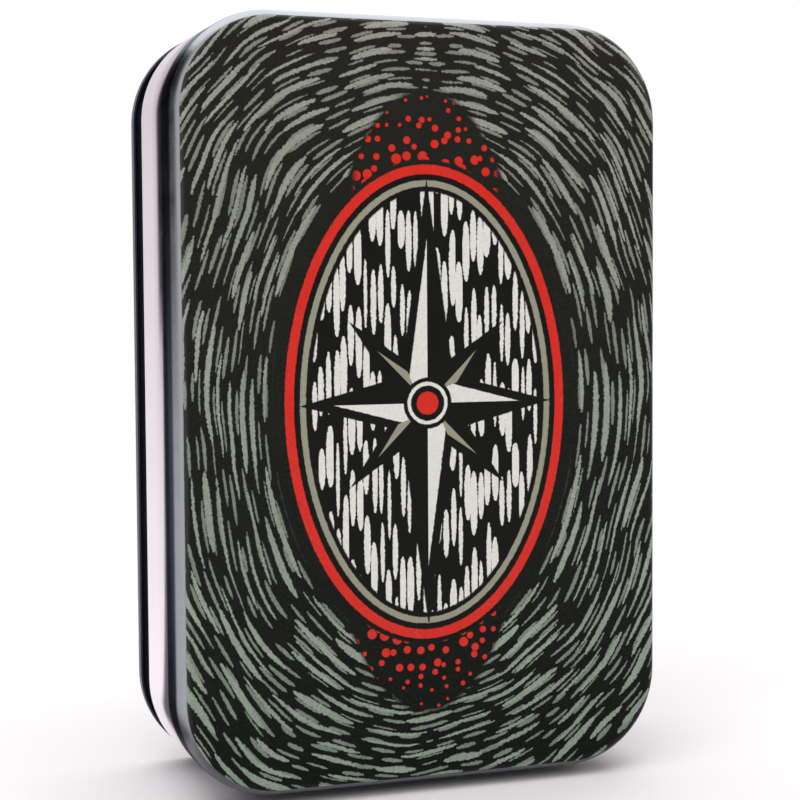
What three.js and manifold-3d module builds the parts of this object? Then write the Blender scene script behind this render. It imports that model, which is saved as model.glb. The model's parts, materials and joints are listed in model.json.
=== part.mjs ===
// A card game tin with a hinged lid, standing on one short side with its lid to the front.
// Millimetres, +Z up. The origin is under the middle of the tin, on the surface it stands on.
// The tin is sheet metal: a drawn lid, a body wall, a bottom seamed to that wall, and a pin hinge
// of curled knuckles along the upper short side. A formed tray inside holds the cards.

import * as THREE from "three";
import { mergeVertices } from "three/addons/utils/BufferGeometryUtils.js";
import Module from "manifold-3d";

// Driving dimensions: the cards, the depth of the closed tin, the band of its body that shows
// behind the lid, its sheet metal, and the gap that pieces keep where they seat on each other
const cardWidth = 70;
const cardHeight = 110;
const cardRadius = 3.5;
const tinDepth = 31;
const bodyBand = 8.5;
const sheet = 0.35;
const seatGap = 0.3;

// Lid
const lidSkirt = tinDepth - bodyBand;
const lidEdgeRadius = 2.2;
const hemThickness = 1;
const hemTurn = THREE.MathUtils.degToRad(225);

// Body wall: a neck that the lid closes over, a bead that stops the lid, and a hook for the seam
const lidOverlap = 8;
const mouthCurl = 1;
const mouthTurn = THREE.MathUtils.degToRad(230);
const beadWidth = 2.8;
const beadInset = 0.4;
const beadFade = THREE.MathUtils.degToRad(22);
const hookRadius = 0.5;

// Bottom, seamed round the body wall
const seamHeight = 2.4;
const seamRadius = 0.5;
const seamTuck = 0.2;
const panelFoldRadius = 0.6;
const panelStep = 0.5;
const panelStepInset = 7;

// Hinge
const hingeLength = 44;
const pinDiameter = 1.3;
const pinHeadRadius = 1.15;
const pinHeadLength = 0.6;
const knuckleTurn = THREE.MathUtils.degToRad(285);
const knuckleGap = 0.4;
const plateWrap = THREE.MathUtils.degToRad(28);
const knuckle_shares = [0, 0.15, 0.35, 0.65, 0.85, 1];

// Tray, with a flange between its skirt and its well, and a pocket behind the flange's corners
const trayWall = 0.5;
const trayFold = 0.6;
const trayRise = 0.3;
const flangeWidth = 3.8;
const cornerPocket = 0.5;
const sideClearance = 0.3;
const endClearance = 1;
const notchRadius = 9;

// Deck and rules
const cardThickness = 0.32;
const cardsInPacket = 9;
const packetCount = 5;
const packetShift = 0.15;
const rulesWidth = 64;
const rulesHeight = 98;
const rulesThickness = 1.2;

// Fineness of the curved stretches
const cornerSteps = 8;
const edgeSteps = 5;
const foldSteps = 3;
const curlSteps = 7;
const beadSteps = 8;
const knuckleSteps = 14;
const plateArcSteps = 4;
const pinSides = 16;
const cardSteps = 2;

// One length by which every cutting shape runs past what it cuts
const overrun = 1;

const rightAngle = Math.PI / 2;
const mergeDistance = sheet / 1000;

// The hinge stands clear of the rim, and the lid's far rim rises as it swings off the neck.
const pinRadius = pinDiameter / 2;
const knuckleMid = pinRadius + seatGap + sheet / 2;
const knuckleOuter = knuckleMid + sheet / 2;
const hingeSetback = knuckleGap + knuckleOuter;
// It swings a little further out than the card's height, so that height gives a safe rise.
const swingAngle = Math.asin(lidOverlap / cardHeight);
const swingRise = cardHeight * (1 - Math.cos(swingAngle)) + hingeSetback * Math.sin(swingAngle);

// Distances inwards from the lid's outer face, and depths back from the lid's front face
const wallInset = hemThickness + seatGap + swingRise;
const wallMidInset = wallInset + sheet / 2;
const plateMidInset = wallInset - seatGap - sheet / 2;
const chuckMidInset = wallInset + sheet + seatGap + sheet / 2;
const trayInset = wallInset + mouthCurl + seatGap;

// The tin is as wide and high as its cards, their well, the flange round it and the walls.
const wellWidth = cardWidth + 2 * sideClearance;
const wellHeight = cardHeight + 2 * endClearance;
const wellRadius = cardRadius + sideClearance;
const tinWidth = wellWidth + 2 * (flangeWidth + trayInset);
const tinHeight = wellHeight + 2 * (flangeWidth + trayInset);

// The corners are as round as they can be with the flange still wide enough at the corners.
const cornerFlange = 2 * trayWall + cornerPocket;
const cornerReach = Math.SQRT2 * (flangeWidth + wellRadius) - wellRadius - cornerFlange;
const cornerRadius = trayInset + cornerReach / (Math.SQRT2 - 1);

// Depths and heights of what meets at the rim, the hinge and the bottom
const mouthDepth = lidSkirt - lidOverlap;
const hingeDepth = lidSkirt + hingeSetback;
const hingeHeight = tinHeight / 2 - plateMidInset + knuckleMid;
const plateFront = lidSkirt + knuckleGap;
const plateDepth = tinDepth - seamHeight - seamTuck - knuckleGap - plateFront;
const tabFront = hingeDepth + hingeSetback;
const pinHeadStart = hingeLength / 2 - knuckleGap / 2 + seatGap;
const pinHeadEnd = pinHeadStart + pinHeadLength;
const panelMidDepth = tinDepth - seamHeight - sheet / 2;
const panelFace = panelMidDepth - sheet / 2;

const wasm = await Module();
wasm.setup();

// A geometry as a solid that can be joined or cut.
function toSolid(geometry) {
  const bare = geometry.clone();
  bare.deleteAttribute("normal");
  bare.deleteAttribute("uv");
  const merged = mergeVertices(bare, mergeDistance);
  const mesh = new wasm.Mesh({
    numProp: 3,
    vertProperties: merged.getAttribute("position").array,
    triVerts: new Uint32Array(merged.index.array),
  });
  return new wasm.Manifold(mesh);
}

// A solid as a geometry again.
function toGeometry(solid) {
  const mesh = solid.getMesh();
  const geometry = new THREE.BufferGeometry();
  geometry.setAttribute("position", new THREE.BufferAttribute(mesh.vertProperties, 3));
  geometry.setIndex(new THREE.BufferAttribute(mesh.triVerts, 1));
  return geometry;
}

function joined(geometries) {
  const solids = geometries.map(toSolid);
  return toGeometry(solids.reduce((whole, piece) => whole.add(piece)));
}

function cutFrom(geometry, cutters) {
  const start = toSolid(geometry);
  return toGeometry(cutters.map(toSolid).reduce((whole, cutter) => whole.subtract(cutter), start));
}

// Points along an arc, clockwise when it ends at a smaller angle than it starts.
function arc(centreX, centreY, radius, from, to, steps) {
  const curve = new THREE.EllipseCurve(centreX, centreY, radius, radius, from, to, to < from);
  return curve.getPoints(steps);
}

// A line moved sideways by a distance, with its corners mitred. Positive is to the left.
function offsetLine(line, distance) {
  return line.map((point, i) => {
    const before = line[Math.max(i - 1, 0)];
    const after = line[Math.min(i + 1, line.length - 1)];
    const into = point.clone().sub(before).normalize();
    const outOf = after.clone().sub(point).normalize();
    const along = into.clone().add(outOf).normalize();
    const bend = Math.max(along.dot(i === 0 ? outOf : into), Math.SQRT1_2);
    const left = new THREE.Vector2(-along.y, along.x);
    return point.clone().addScaledVector(left, distance / bend);
  });
}

// The section of sheet metal along its middle line: out on the left side, back on the right.
function sheetSection(line, thickness = sheet) {
  const left = offsetLine(line, thickness / 2);
  const right = offsetLine(line, -thickness / 2);
  return [...left, ...right.reverse()];
}

// The tin's rounded rectangle, seen from the front and run round anticlockwise, at one depth.
function roundedRing(width, height, radius, depth) {
  const sides = [[1, 1], [-1, 1], [-1, -1], [1, -1]];
  return sides.flatMap(([sideX, sideZ], quarter) => {
    const centreX = sideX * (width / 2 - radius);
    const centreZ = sideZ * (height / 2 - radius);
    const start = quarter * rightAngle;
    const corner = arc(centreX, centreZ, radius, start, start + rightAngle, cornerSteps);
    return corner.map((point) => new THREE.Vector3(point.x, depth, point.y));
  });
}

// Rings for section points whose x is the distance inwards from the tin's outer face and whose
// y is the depth behind the lid's front face.
function tinRings(section) {
  return section.map(({ x: inset, y: depth }) =>
    roundedRing(tinWidth - 2 * inset, tinHeight - 2 * inset, cornerRadius - inset, depth));
}

function ringCap(ring, firstIndex, facesBack) {
  const contour = ring.map((point) => new THREE.Vector2(point.x, point.z));
  const triangles = THREE.ShapeUtils.triangulateShape(contour, []);
  return triangles.flatMap(([a, b, c]) => {
    const turned = facesBack ? [a, c, b] : [a, b, c];
    return turned.map((corner) => corner + firstIndex);
  });
}

// A skin through rings of equal count. Either its first ring is capped to the front and its last
// to the back, or the section closes on itself and the piece is a band round an opening.
function loft(rings, isBand = false) {
  const count = rings[0].length;
  const lastBand = isBand ? rings.length : rings.length - 1;
  const index = [];
  for (let k = 0; k < lastBand; k += 1) {
    const here = k * count;
    const next = ((k + 1) % rings.length) * count;
    for (let i = 0; i < count; i += 1) {
      const j = (i + 1) % count;
      index.push(here + i, next + i, next + j);
      index.push(here + i, next + j, here + j);
    }
  }
  if (!isBand) {
    index.push(...ringCap(rings[0], 0, false));
    index.push(...ringCap(rings.at(-1), (rings.length - 1) * count, true));
  }
  const geometry = new THREE.BufferGeometry().setFromPoints(rings.flat());
  geometry.setIndex(index);
  return geometry;
}

// An outline in depth and height, extruded along the tin's width from a given place.
function extrudeAcross(points, left, width) {
  const shape = new THREE.Shape(points);
  const geometry = new THREE.ExtrudeGeometry(shape, { depth: width, bevelEnabled: false });
  const turn = new THREE.Matrix4().makeBasis(
    new THREE.Vector3(0, 1, 0),
    new THREE.Vector3(0, 0, 1),
    new THREE.Vector3(1, 0, 0),
  );
  return geometry.applyMatrix4(turn).translate(left, 0, 0);
}

// An outline in width and height, extruded backwards from a given depth.
function extrudeBack(shape, front, depth, steps = plateArcSteps) {
  const options = { depth, bevelEnabled: false, curveSegments: steps };
  const geometry = new THREE.ExtrudeGeometry(shape, options);
  return geometry.rotateX(rightAngle).translate(0, front + depth, 0);
}

// One hinge knuckle: a tab that runs from its sheet to below the pin and curls round it.
// The lid's tabs run backwards and the plate's run forwards.
function knuckle(slot, tabStart, runsBack) {
  const spin = runsBack ? 1 : -1;
  const start = -rightAngle;
  const curl = arc(hingeDepth, hingeHeight, knuckleMid, start, start + spin * knuckleTurn, knuckleSteps);
  const section = sheetSection([tabStart, ...curl]);
  const left = hingeLength * (knuckle_shares[slot] - 1 / 2) + knuckleGap / 2;
  const right = hingeLength * (knuckle_shares[slot + 1] - 1 / 2) - knuckleGap / 2;
  return extrudeAcross(section, left, right - left);
}

// Lid: face, rounded edge, skirt, and a rim hemmed inwards. Two knuckles grow from the hem.
function lidShell() {
  const faceMid = sheet / 2;
  const hemMid = (hemThickness - sheet) / 2;
  const hemCentre = lidSkirt - hemThickness / 2;
  const edgeTurn = arc(
    lidEdgeRadius, lidEdgeRadius, lidEdgeRadius - faceMid, -rightAngle, -2 * rightAngle, edgeSteps);
  const hem = arc(
    faceMid + hemMid, hemCentre, hemMid, 2 * rightAngle, 2 * rightAngle - hemTurn, curlSteps);
  const shell = loft(tinRings(sheetSection([...edgeTurn, ...hem])));
  const hemInner = tinHeight / 2 - hemThickness + sheet / 2;
  const tabStart = new THREE.Vector2(hemCentre, hemInner);
  const knuckles = [1, 3].map((slot) => knuckle(slot, tabStart, true));
  return joined([shell, ...knuckles]);
}

// How much of the stop bead stands at a place of the outline: it fades out as it turns into the
// upper corners, and there is none along the hinge side.
function beadShare(point) {
  const centreX = tinWidth / 2 - cornerRadius;
  const centreZ = tinHeight / 2 - cornerRadius;
  const rise = Math.max(point.z - centreZ, 0);
  const reach = Math.max(Math.abs(point.x) - centreX, 0);
  const angle = Math.atan2(rise, reach);
  return 1 - THREE.MathUtils.smoothstep(angle, 0, beadFade);
}

// The body wall's middle line: rolled mouth, neck, stop bead, wall, and seam hook.
function bodyLine(beadRise) {
  const curlMid = (mouthCurl - sheet) / 2;
  const mouth = arc(
    wallMidInset + curlMid, mouthDepth + mouthCurl / 2, curlMid,
    -2 * rightAngle + mouthTurn, -2 * rightAngle, curlSteps);
  const bead = [];
  for (let i = 0; i <= beadSteps; i += 1) {
    const share = i / beadSteps;
    const rise = beadRise * Math.sin(share * Math.PI) ** 2;
    bead.push(new THREE.Vector2(wallMidInset - rise, lidSkirt + beadWidth * share));
  }
  const hookDepth = tinDepth - sheet - seatGap - sheet / 2 - hookRadius;
  const hook = arc(wallMidInset - hookRadius, hookDepth, hookRadius, 0, rightAngle, foldSteps);
  const hookEnd = new THREE.Vector2(sheet + seatGap, hookDepth + hookRadius);
  return [...mouth, ...bead, ...hook, hookEnd];
}

function bodyWall() {
  const plain = tinRings(sheetSection(bodyLine(0)));
  const beaded = tinRings(sheetSection(bodyLine(wallInset - beadInset)));
  const rings = plain.map((ring, k) =>
    ring.map((point, i) => point.clone().lerp(beaded[k][i], beadShare(point))));
  return loft(rings, true);
}

// Bottom: a sunk panel with a shallow step, and the seam that grips the body wall's hook.
function bottomPanel() {
  const skirtMid = sheet / 2;
  const seamTop = tinDepth - sheet / 2;
  const seamFront = tinDepth - seamHeight;
  const line = [
    new THREE.Vector2(panelStepInset + 2 * panelStep, panelMidDepth + panelStep),
    new THREE.Vector2(panelStepInset + panelStep, panelMidDepth + panelStep),
    new THREE.Vector2(panelStepInset, panelMidDepth),
    ...arc(
      chuckMidInset + panelFoldRadius, panelMidDepth + panelFoldRadius, panelFoldRadius,
      -rightAngle, -2 * rightAngle, foldSteps),
    ...arc(chuckMidInset - seamRadius, seamTop - seamRadius, seamRadius, 0, rightAngle, foldSteps),
    ...arc(
      skirtMid + seamRadius, seamTop - seamRadius, seamRadius,
      rightAngle, 2 * rightAngle, foldSteps),
    new THREE.Vector2(skirtMid, seamFront),
    new THREE.Vector2(skirtMid + seamTuck, seamFront - seamTuck),
  ];
  return loft(tinRings(sheetSection(line)));
}

// Hinge plate: a strip lapped over the upper end of the body wall and part of its corners, from
// the rim to the seam. It is cut back behind the hinge, where its three knuckles are tabs.
function hingePlate() {
  const centreX = tinWidth / 2 - cornerRadius;
  const centreZ = tinHeight / 2 - cornerRadius;
  const outer = cornerRadius - plateMidInset + sheet / 2;
  const inner = outer - sheet;
  const shape = new THREE.Shape();
  shape.absarc(-centreX, centreZ, outer, 2 * rightAngle - plateWrap, rightAngle, true);
  shape.absarc(centreX, centreZ, outer, rightAngle, plateWrap, true);
  shape.absarc(centreX, centreZ, inner, plateWrap, rightAngle, false);
  shape.absarc(-centreX, centreZ, inner, rightAngle, 2 * rightAngle - plateWrap, false);
  const strip = extrudeBack(shape, plateFront, plateDepth);
  const cutLength = 2 * (pinHeadEnd + knuckleGap);
  const cutFront = plateFront - overrun;
  const cut = new THREE.BoxGeometry(cutLength, tabFront - cutFront, 2 * overrun);
  cut.translate(0, (cutFront + tabFront) / 2, tinHeight / 2 - plateMidInset);
  const tabStart = new THREE.Vector2(tabFront + sheet, tinHeight / 2 - plateMidInset);
  const knuckles = [0, 2, 4].map((slot) => knuckle(slot, tabStart, false));
  return joined([cutFrom(strip, [cut]), ...knuckles]);
}

// Hinge pin: a wire with both ends upset into small round heads.
function hingePin() {
  const dome = pinHeadLength / 2;
  const half = [
    new THREE.Vector2(pinRadius, pinHeadStart),
    new THREE.Vector2(pinHeadRadius, pinHeadStart),
    new THREE.Vector2(pinHeadRadius, pinHeadEnd - dome),
    new THREE.Vector2(pinHeadRadius - dome, pinHeadEnd),
    new THREE.Vector2(0, pinHeadEnd),
  ];
  const otherHalf = half.map((point) => new THREE.Vector2(point.x, -point.y)).reverse();
  return new THREE.LatheGeometry([...otherHalf, ...half], pinSides);
}

// Tray: a formed sheet with a well for the cards, a flange round it and a skirt down to the
// bottom. Each long side of the well has a notch for a thumb.
const trayFlange = mouthDepth + trayRise;
const trayFoot = panelFace - seatGap;
const wellFloor = trayFoot - trayWall;

function trayShell() {
  const flangeMid = trayFlange + trayWall / 2;
  const floorMid = wellFloor + trayWall / 2;
  const wellLine = [
    ...arc(trayFold, floorMid - trayFold, trayFold, rightAngle, 2 * rightAngle, foldSteps),
    ...arc(-trayFold, flangeMid + trayFold, trayFold, 0, -rightAngle, foldSteps),
  ];
  const skirtLine = [
    ...arc(trayFold, flangeMid + trayFold, trayFold, -rightAngle, -2 * rightAngle, foldSteps),
    new THREE.Vector2(0, trayFoot),
  ];
  const wellRing = ({ x: inset, y: depth }) => {
    const grow = 2 * (trayWall / 2 - inset);
    return roundedRing(wellWidth + grow, wellHeight + grow, wellRadius + grow / 2, depth);
  };
  const skirtRing = ({ x: inset, y: depth }) => {
    const away = trayInset + trayWall / 2 + inset;
    return roundedRing(tinWidth - 2 * away, tinHeight - 2 * away, cornerRadius - away, depth);
  };
  const front = [
    ...offsetLine(wellLine, trayWall / 2).map(wellRing),
    ...offsetLine(skirtLine, trayWall / 2).map(skirtRing),
  ];
  const back = [
    ...offsetLine(wellLine, -trayWall / 2).map(wellRing),
    ...offsetLine(skirtLine, -trayWall / 2).map(skirtRing),
  ];
  return loft([...front, ...back.reverse()]);
}

function insertTray() {
  const notchStart = cardWidth / 2 - overrun;
  const notchEnd = tinWidth / 2 - trayInset - 2 * trayWall;
  const notchWidth = notchEnd - notchStart;
  const notchMiddle = (notchStart + notchEnd) / 2;
  const notches = [-1, 1].map((side) => {
    const round = new THREE.CylinderGeometry(notchRadius, notchRadius, notchWidth, 4 * cornerSteps);
    return round.rotateZ(rightAngle).translate(side * notchMiddle, trayFlange, 0);
  });
  return cutFrom(trayShell(), notches);
}

function roundedCard(width, height, radius) {
  const right = width / 2 - radius;
  const top = height / 2 - radius;
  const shape = new THREE.Shape();
  shape.absarc(right, top, radius, 0, rightAngle, false);
  shape.absarc(-right, top, radius, rightAngle, 2 * rightAngle, false);
  shape.absarc(-right, -top, radius, 2 * rightAngle, 3 * rightAngle, false);
  shape.absarc(right, -top, radius, 3 * rightAngle, 4 * rightAngle, false);
  return shape;
}

// The tin stands on end, so the deck has slid down to the lower end of its well.
const deckDrop = endClearance - seatGap;
const packetThickness = cardsInPacket * cardThickness;
const packetPitch = packetThickness + seatGap;
const deckFront = wellFloor - packetCount * packetPitch;

// A packet is a few cards squared up. Packets lie a hair to either side, as a used deck does.
function cardPacket(place) {
  const shape = roundedCard(cardWidth, cardHeight, cardRadius);
  const side = place % 2 === 0 ? 1 : -1;
  const front = deckFront + place * packetPitch;
  const packet = extrudeBack(shape, front, packetThickness, cardSteps);
  return packet.translate(side * packetShift, 0, -deckDrop);
}

// The rules are a folded booklet, with its rounded spine on the left.
function rulesBooklet() {
  const spineRadius = rulesThickness / 2;
  const spine = rulesWidth / 2 - spineRadius;
  const middle = deckFront - seatGap - spineRadius;
  const shape = new THREE.Shape();
  shape.absarc(-spine, middle, spineRadius, rightAngle, 3 * rightAngle, false);
  shape.lineTo(rulesWidth / 2, middle - spineRadius);
  shape.lineTo(rulesWidth / 2, middle + spineRadius);
  const options = { depth: rulesHeight, bevelEnabled: false, curveSegments: plateArcSteps };
  return new THREE.ExtrudeGeometry(shape, options).translate(0, 0, -rulesHeight / 2);
}

function finish(color, roughness, metalness) {
  return new THREE.MeshStandardMaterial({ color, roughness, metalness });
}

const lidFinish = finish(0x23271f, 0.35, 0.3);
const bodyFinish = finish(0x171a26, 0.3, 0.3);
const bareTin = finish(0x9aa0a4, 0.35, 0.9);
const trayFinish = finish(0x1c1c1e, 0.5, 0);
const cardFinish = finish(0xe9e6dc, 0.6, 0);
const paperFinish = finish(0xd8d2c0, 0.8, 0);

function piece(name, geometry, material) {
  const mesh = new THREE.Mesh(geometry, material);
  mesh.name = name;
  return mesh;
}

// Both groups of the tin are built round the middle of the lid's front face. The lid hangs in a
// group of its own whose X axis is the hinge, so turning that group opens the lid.
const lid = new THREE.Group();
const shell = piece("lid_shell", lidShell(), lidFinish);
shell.position.set(0, -hingeDepth, -hingeHeight);
lid.add(shell);
lid.position.set(0, hingeDepth, hingeHeight);

const base = new THREE.Group();
base.add(piece("body_wall", bodyWall(), bodyFinish));
base.add(piece("bottom_panel", bottomPanel(), bodyFinish));
base.add(piece("hinge_plate", hingePlate(), bodyFinish));
base.add(piece("insert_tray", insertTray(), trayFinish));
base.add(piece("rules_booklet", rulesBooklet(), paperFinish));

const pin = piece("hinge_pin", hingePin(), bareTin);
pin.position.set(0, hingeDepth, hingeHeight);
pin.rotation.z = rightAngle;
base.add(pin);

for (let place = 0; place < packetCount; place += 1) {
  base.add(piece(`card_packet_${place + 1}`, cardPacket(place), cardFinish));
}

const tin = new THREE.Group();
tin.add(base, lid);
tin.position.set(0, -tinDepth / 2, tinHeight / 2);

export default tin;
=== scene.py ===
# %% [markdown]
# # A card game tin, dressed for the camera
#
# The tin is pressed from thin tinplate: a printed lid, a lacquered body, a seamed bottom and a
# small pin hinge on the upper short side. The construction model gives the true sizes and the
# joint. This script rebuilds the visible shells finely enough for reflections, prints the lid,
# and fills the tin with cards and a rules booklet.

import json
import math
from types import SimpleNamespace

import bmesh
import bpy
from mathutils import Matrix, Vector


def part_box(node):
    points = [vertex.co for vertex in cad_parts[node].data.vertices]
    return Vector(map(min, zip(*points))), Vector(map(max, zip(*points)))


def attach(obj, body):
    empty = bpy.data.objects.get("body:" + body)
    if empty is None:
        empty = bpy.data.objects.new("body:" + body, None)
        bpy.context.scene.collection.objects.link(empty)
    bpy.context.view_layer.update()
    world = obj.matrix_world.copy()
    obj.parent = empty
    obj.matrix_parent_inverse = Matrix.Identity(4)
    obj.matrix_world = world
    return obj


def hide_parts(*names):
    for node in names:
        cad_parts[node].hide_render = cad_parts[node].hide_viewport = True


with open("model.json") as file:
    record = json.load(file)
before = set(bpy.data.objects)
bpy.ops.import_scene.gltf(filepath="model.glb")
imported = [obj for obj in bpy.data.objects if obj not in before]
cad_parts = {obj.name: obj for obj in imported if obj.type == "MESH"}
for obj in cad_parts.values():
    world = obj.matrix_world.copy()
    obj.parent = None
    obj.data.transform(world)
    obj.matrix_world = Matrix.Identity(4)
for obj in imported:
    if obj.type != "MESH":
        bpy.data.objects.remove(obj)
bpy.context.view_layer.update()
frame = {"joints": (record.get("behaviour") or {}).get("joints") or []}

# %% [markdown]
# ## Measures
#
# Blender works in metres here, and tin work in millimetres, so every size is written in
# millimetres times `mm`. The outline comes from the frame. The lid's box gives the width and the
# front face, and the bottom's box the height and the back, because the lid's knuckles make its
# own box taller than the tin. A section is drawn with two numbers for each point: how far it
# lies inwards from the tin's outer face, and how deep behind the front face.

# %% Measures of the tin
mm = 0.001
lid_low, lid_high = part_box("lid_shell")
bottom_low, bottom_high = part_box("bottom_panel")
tin_width = lid_high.x - lid_low.x
tin_height = bottom_high.z - bottom_low.z
tin_front = lid_low.y
tin_back = bottom_high.y
tin_depth = tin_back - tin_front
middle_z = (bottom_low.z + bottom_high.z) / 2
corner_radius = 16.17 * mm
sheet = 0.35 * mm
seat_gap = 0.3 * mm
print(f"tin {tin_width / mm:.1f} x {tin_height / mm:.1f} x {tin_depth / mm:.1f} mm")

# %% [markdown]
# ## Camera
#
# The photograph was taken from close by, a little to the left of the lid and slightly above its
# middle. A camera needs a direction, a roll, a distance, a point to look at and a focal length.
# All were fitted to the outline of the tin in the picture, which is 800 pixels square, so the
# long lens and the short distance give the same perspective.

# %% Camera
camera_yaw = math.radians(19.86)
camera_pitch = math.radians(3.15)
camera_roll = math.radians(-0.38)
camera_distance = 310.9 * mm
camera_aim_depth = 10.4 * mm
camera_aim_shift = -0.99 * mm
sensor_width_mm = 36.0
focal_pixels = 1839.2
image_pixels = 800

backwards = Vector((
    -math.sin(camera_yaw) * math.cos(camera_pitch),
    -math.cos(camera_yaw) * math.cos(camera_pitch),
    math.sin(camera_pitch),
))
level_right = (-backwards).cross(Vector((0, 0, 1))).normalized()
level_up = backwards.cross(level_right)
camera_right = level_right * math.cos(camera_roll) + level_up * math.sin(camera_roll)
camera_up = level_up * math.cos(camera_roll) - level_right * math.sin(camera_roll)
aim = Vector((0, tin_front + camera_aim_depth, middle_z)) + level_right * camera_aim_shift

camera = bpy.data.objects.new("camera", bpy.data.cameras.new("camera"))
bpy.context.scene.collection.objects.link(camera)
turn = Matrix((camera_right, camera_up, backwards)).transposed()
camera.matrix_world = Matrix.Translation(aim + backwards * camera_distance) @ turn.to_4x4()
camera.data.sensor_width = sensor_width_mm
camera.data.lens = focal_pixels / image_pixels * sensor_width_mm
camera.data.clip_start = 1 * mm
bpy.context.scene.camera = camera
print(f"camera lens {camera.data.lens:.1f} mm at {camera_distance:.3f} m")

# %% [markdown]
# ## Nodes, in few words
#
# Every finish below is a small net of nodes, and node code is hard to read: a node is made, its
# sockets are found by name, and links are drawn one by one. A small class hides that. It holds
# one node tree, and each of its methods adds a node, wires what it is given, a number or another
# node's socket, and hands back the output socket. So a pattern reads like a formula.

# %% Arithmetic with nodes
class Sums:
    def __init__(self, tree):
        self.tree = tree

    def node(self, kind, **settings):
        made = self.tree.nodes.new(kind)
        for name, value in settings.items():
            setattr(made, name, value)
        return made

    def wire(self, value, socket):
        if isinstance(value, bpy.types.NodeSocket):
            self.tree.links.new(value, socket)
        else:
            socket.default_value = value

    def wired(self, made, values):
        """A node whose first inputs take the values in turn; its first output."""
        for value, socket in zip(values, made.inputs):
            self.wire(value, socket)
        return made.outputs[0]

    def math(self, operation, *values, clamp=False):
        return self.wired(self.node("ShaderNodeMath", operation=operation, use_clamp=clamp), values)

    def add(self, a, b):
        return self.math("ADD", a, b)

    def subtract(self, a, b):
        return self.math("SUBTRACT", a, b)

    def times(self, a, b):
        return self.math("MULTIPLY", a, b)

    def over(self, a, b):
        return self.math("DIVIDE", a, b)

    def size(self, a):
        return self.math("ABSOLUTE", a)

    def floor(self, a):
        return self.math("FLOOR", a)

    def least(self, a, b):
        return self.math("MINIMUM", a, b)

    def most(self, first, *others):
        for other in others:
            first = self.math("MAXIMUM", first, other)
        return first

    def without(self, a, b):
        return self.times(a, self.subtract(1.0, b))

    def above(self, a, b):
        return self.math("GREATER_THAN", a, b)

    def distance(self, a, b):
        return self.math("SQRT", self.add(self.times(a, a), self.times(b, b)))


print("arithmetic helpers:", len([name for name in vars(Sums) if name[0] != "_"]))

# %% [markdown]
# Patterns need three more kinds of helper: ramps that lead from one value to another, vectors
# and their parts, and the noise, mix and bump nodes. `step` is the one used most: a soft switch
# that is 0 at its first limit and 1 at its second, whichever of them is larger.

# %% Ramps, vectors, noise and mixes
class Net(Sums):
    def ramp(self, kind, *values):
        return self.wired(self.node("ShaderNodeMapRange", interpolation_type=kind), values)

    def step(self, value, start, end):
        return self.ramp("SMOOTHSTEP", value, start, end, 0.0, 1.0)

    def scale(self, value, low, high, new_low, new_high):
        return self.ramp("LINEAR", value, low, high, new_low, new_high)

    def vector(self, x, y, z):
        return self.wired(self.node("ShaderNodeCombineXYZ"), (x, y, z))

    def parts(self, vector):
        made = self.node("ShaderNodeSeparateXYZ")
        self.wire(vector, made.inputs[0])
        return made.outputs

    def noise(self, vector, scale, detail=2.0, roughness=0.5):
        made = self.node("ShaderNodeTexNoise")
        self.wire(vector, made.inputs["Vector"])
        self.wire(scale, made.inputs["Scale"])
        self.wire(detail, made.inputs["Detail"])
        self.wire(roughness, made.inputs["Roughness"])
        return made.outputs["Fac"]

    def lot(self, x, y, z):
        """Random numbers that stay the same all over one cell."""
        made = self.node("ShaderNodeTexWhiteNoise", noise_dimensions="3D")
        self.wire(self.vector(x, y, z), made.inputs["Vector"])
        return made.outputs

    def mix(self, share, first, second):
        made = self.node("ShaderNodeMix", data_type="RGBA", clamp_factor=True)
        self.wire(share, made.inputs["Factor"])
        self.wire(first, [s for s in made.inputs if s.identifier == "A_Color"][0])
        self.wire(second, [s for s in made.inputs if s.identifier == "B_Color"][0])
        return [s for s in made.outputs if s.identifier == "Result_Color"][0]

    def bump(self, height, distance):
        made = self.node("ShaderNodeBump")
        self.wire(height, made.inputs["Height"])
        self.wire(distance, made.inputs["Distance"])
        return made.outputs["Normal"]


print("pattern helpers:", len([name for name in vars(Net) if name[0] != "_"]))

# %% [markdown]
# A finish starts from three things: a net on an empty material, its shader, and the place of
# each point on the piece. The place is taken in object coordinates, so it stays with the piece
# when the lid turns, and it is scaled to millimetres, so a noise scale of 1 means grains of
# about a millimetre. Colours are written as they are read from a screen.

# %% Colours and empty materials
def paint(red, green, blue):
    """A colour read from a screen, from 0 to 255, in the linear form that nodes use."""
    def linear(value):
        share = value / 255
        return share / 12.92 if share <= 0.04045 else ((share + 0.055) / 1.055) ** 2.4
    return (linear(red), linear(green), linear(blue), 1.0)


def new_material(name):
    material = bpy.data.materials.new(name)
    material.use_nodes = True
    net = Net(material.node_tree)
    shader = material.node_tree.nodes["Principled BSDF"]
    place = net.node("ShaderNodeTexCoord").outputs["Object"]
    scaled = net.node("ShaderNodeVectorMath", operation="SCALE")
    net.wire(place, scaled.inputs[0])
    net.wire(1 / mm, scaled.inputs["Scale"])
    return material, net, shader, scaled.outputs[0]


def dress(net, shader, colour, roughness, normal):
    """Wire the three things that every finish here has."""
    net.wire(colour, shader.inputs["Base Color"])
    net.wire(roughness, shader.inputs["Roughness"])
    net.wire(normal, shader.inputs["Normal"])


print("screen grey 128 is", round(paint(128, 128, 128)[0], 3), "in a node")

# %% [markdown]
# ## Sheet metal in section
#
# Everything on a tin is one thin sheet, bent. Its shape is told by a line through the middle of
# the sheet: straight runs, folds and curls. Moving that line half a sheet to the left and half
# to the right gives the section of real metal, with both of its faces. The points are pairs of
# inset and depth, as described above.

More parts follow.
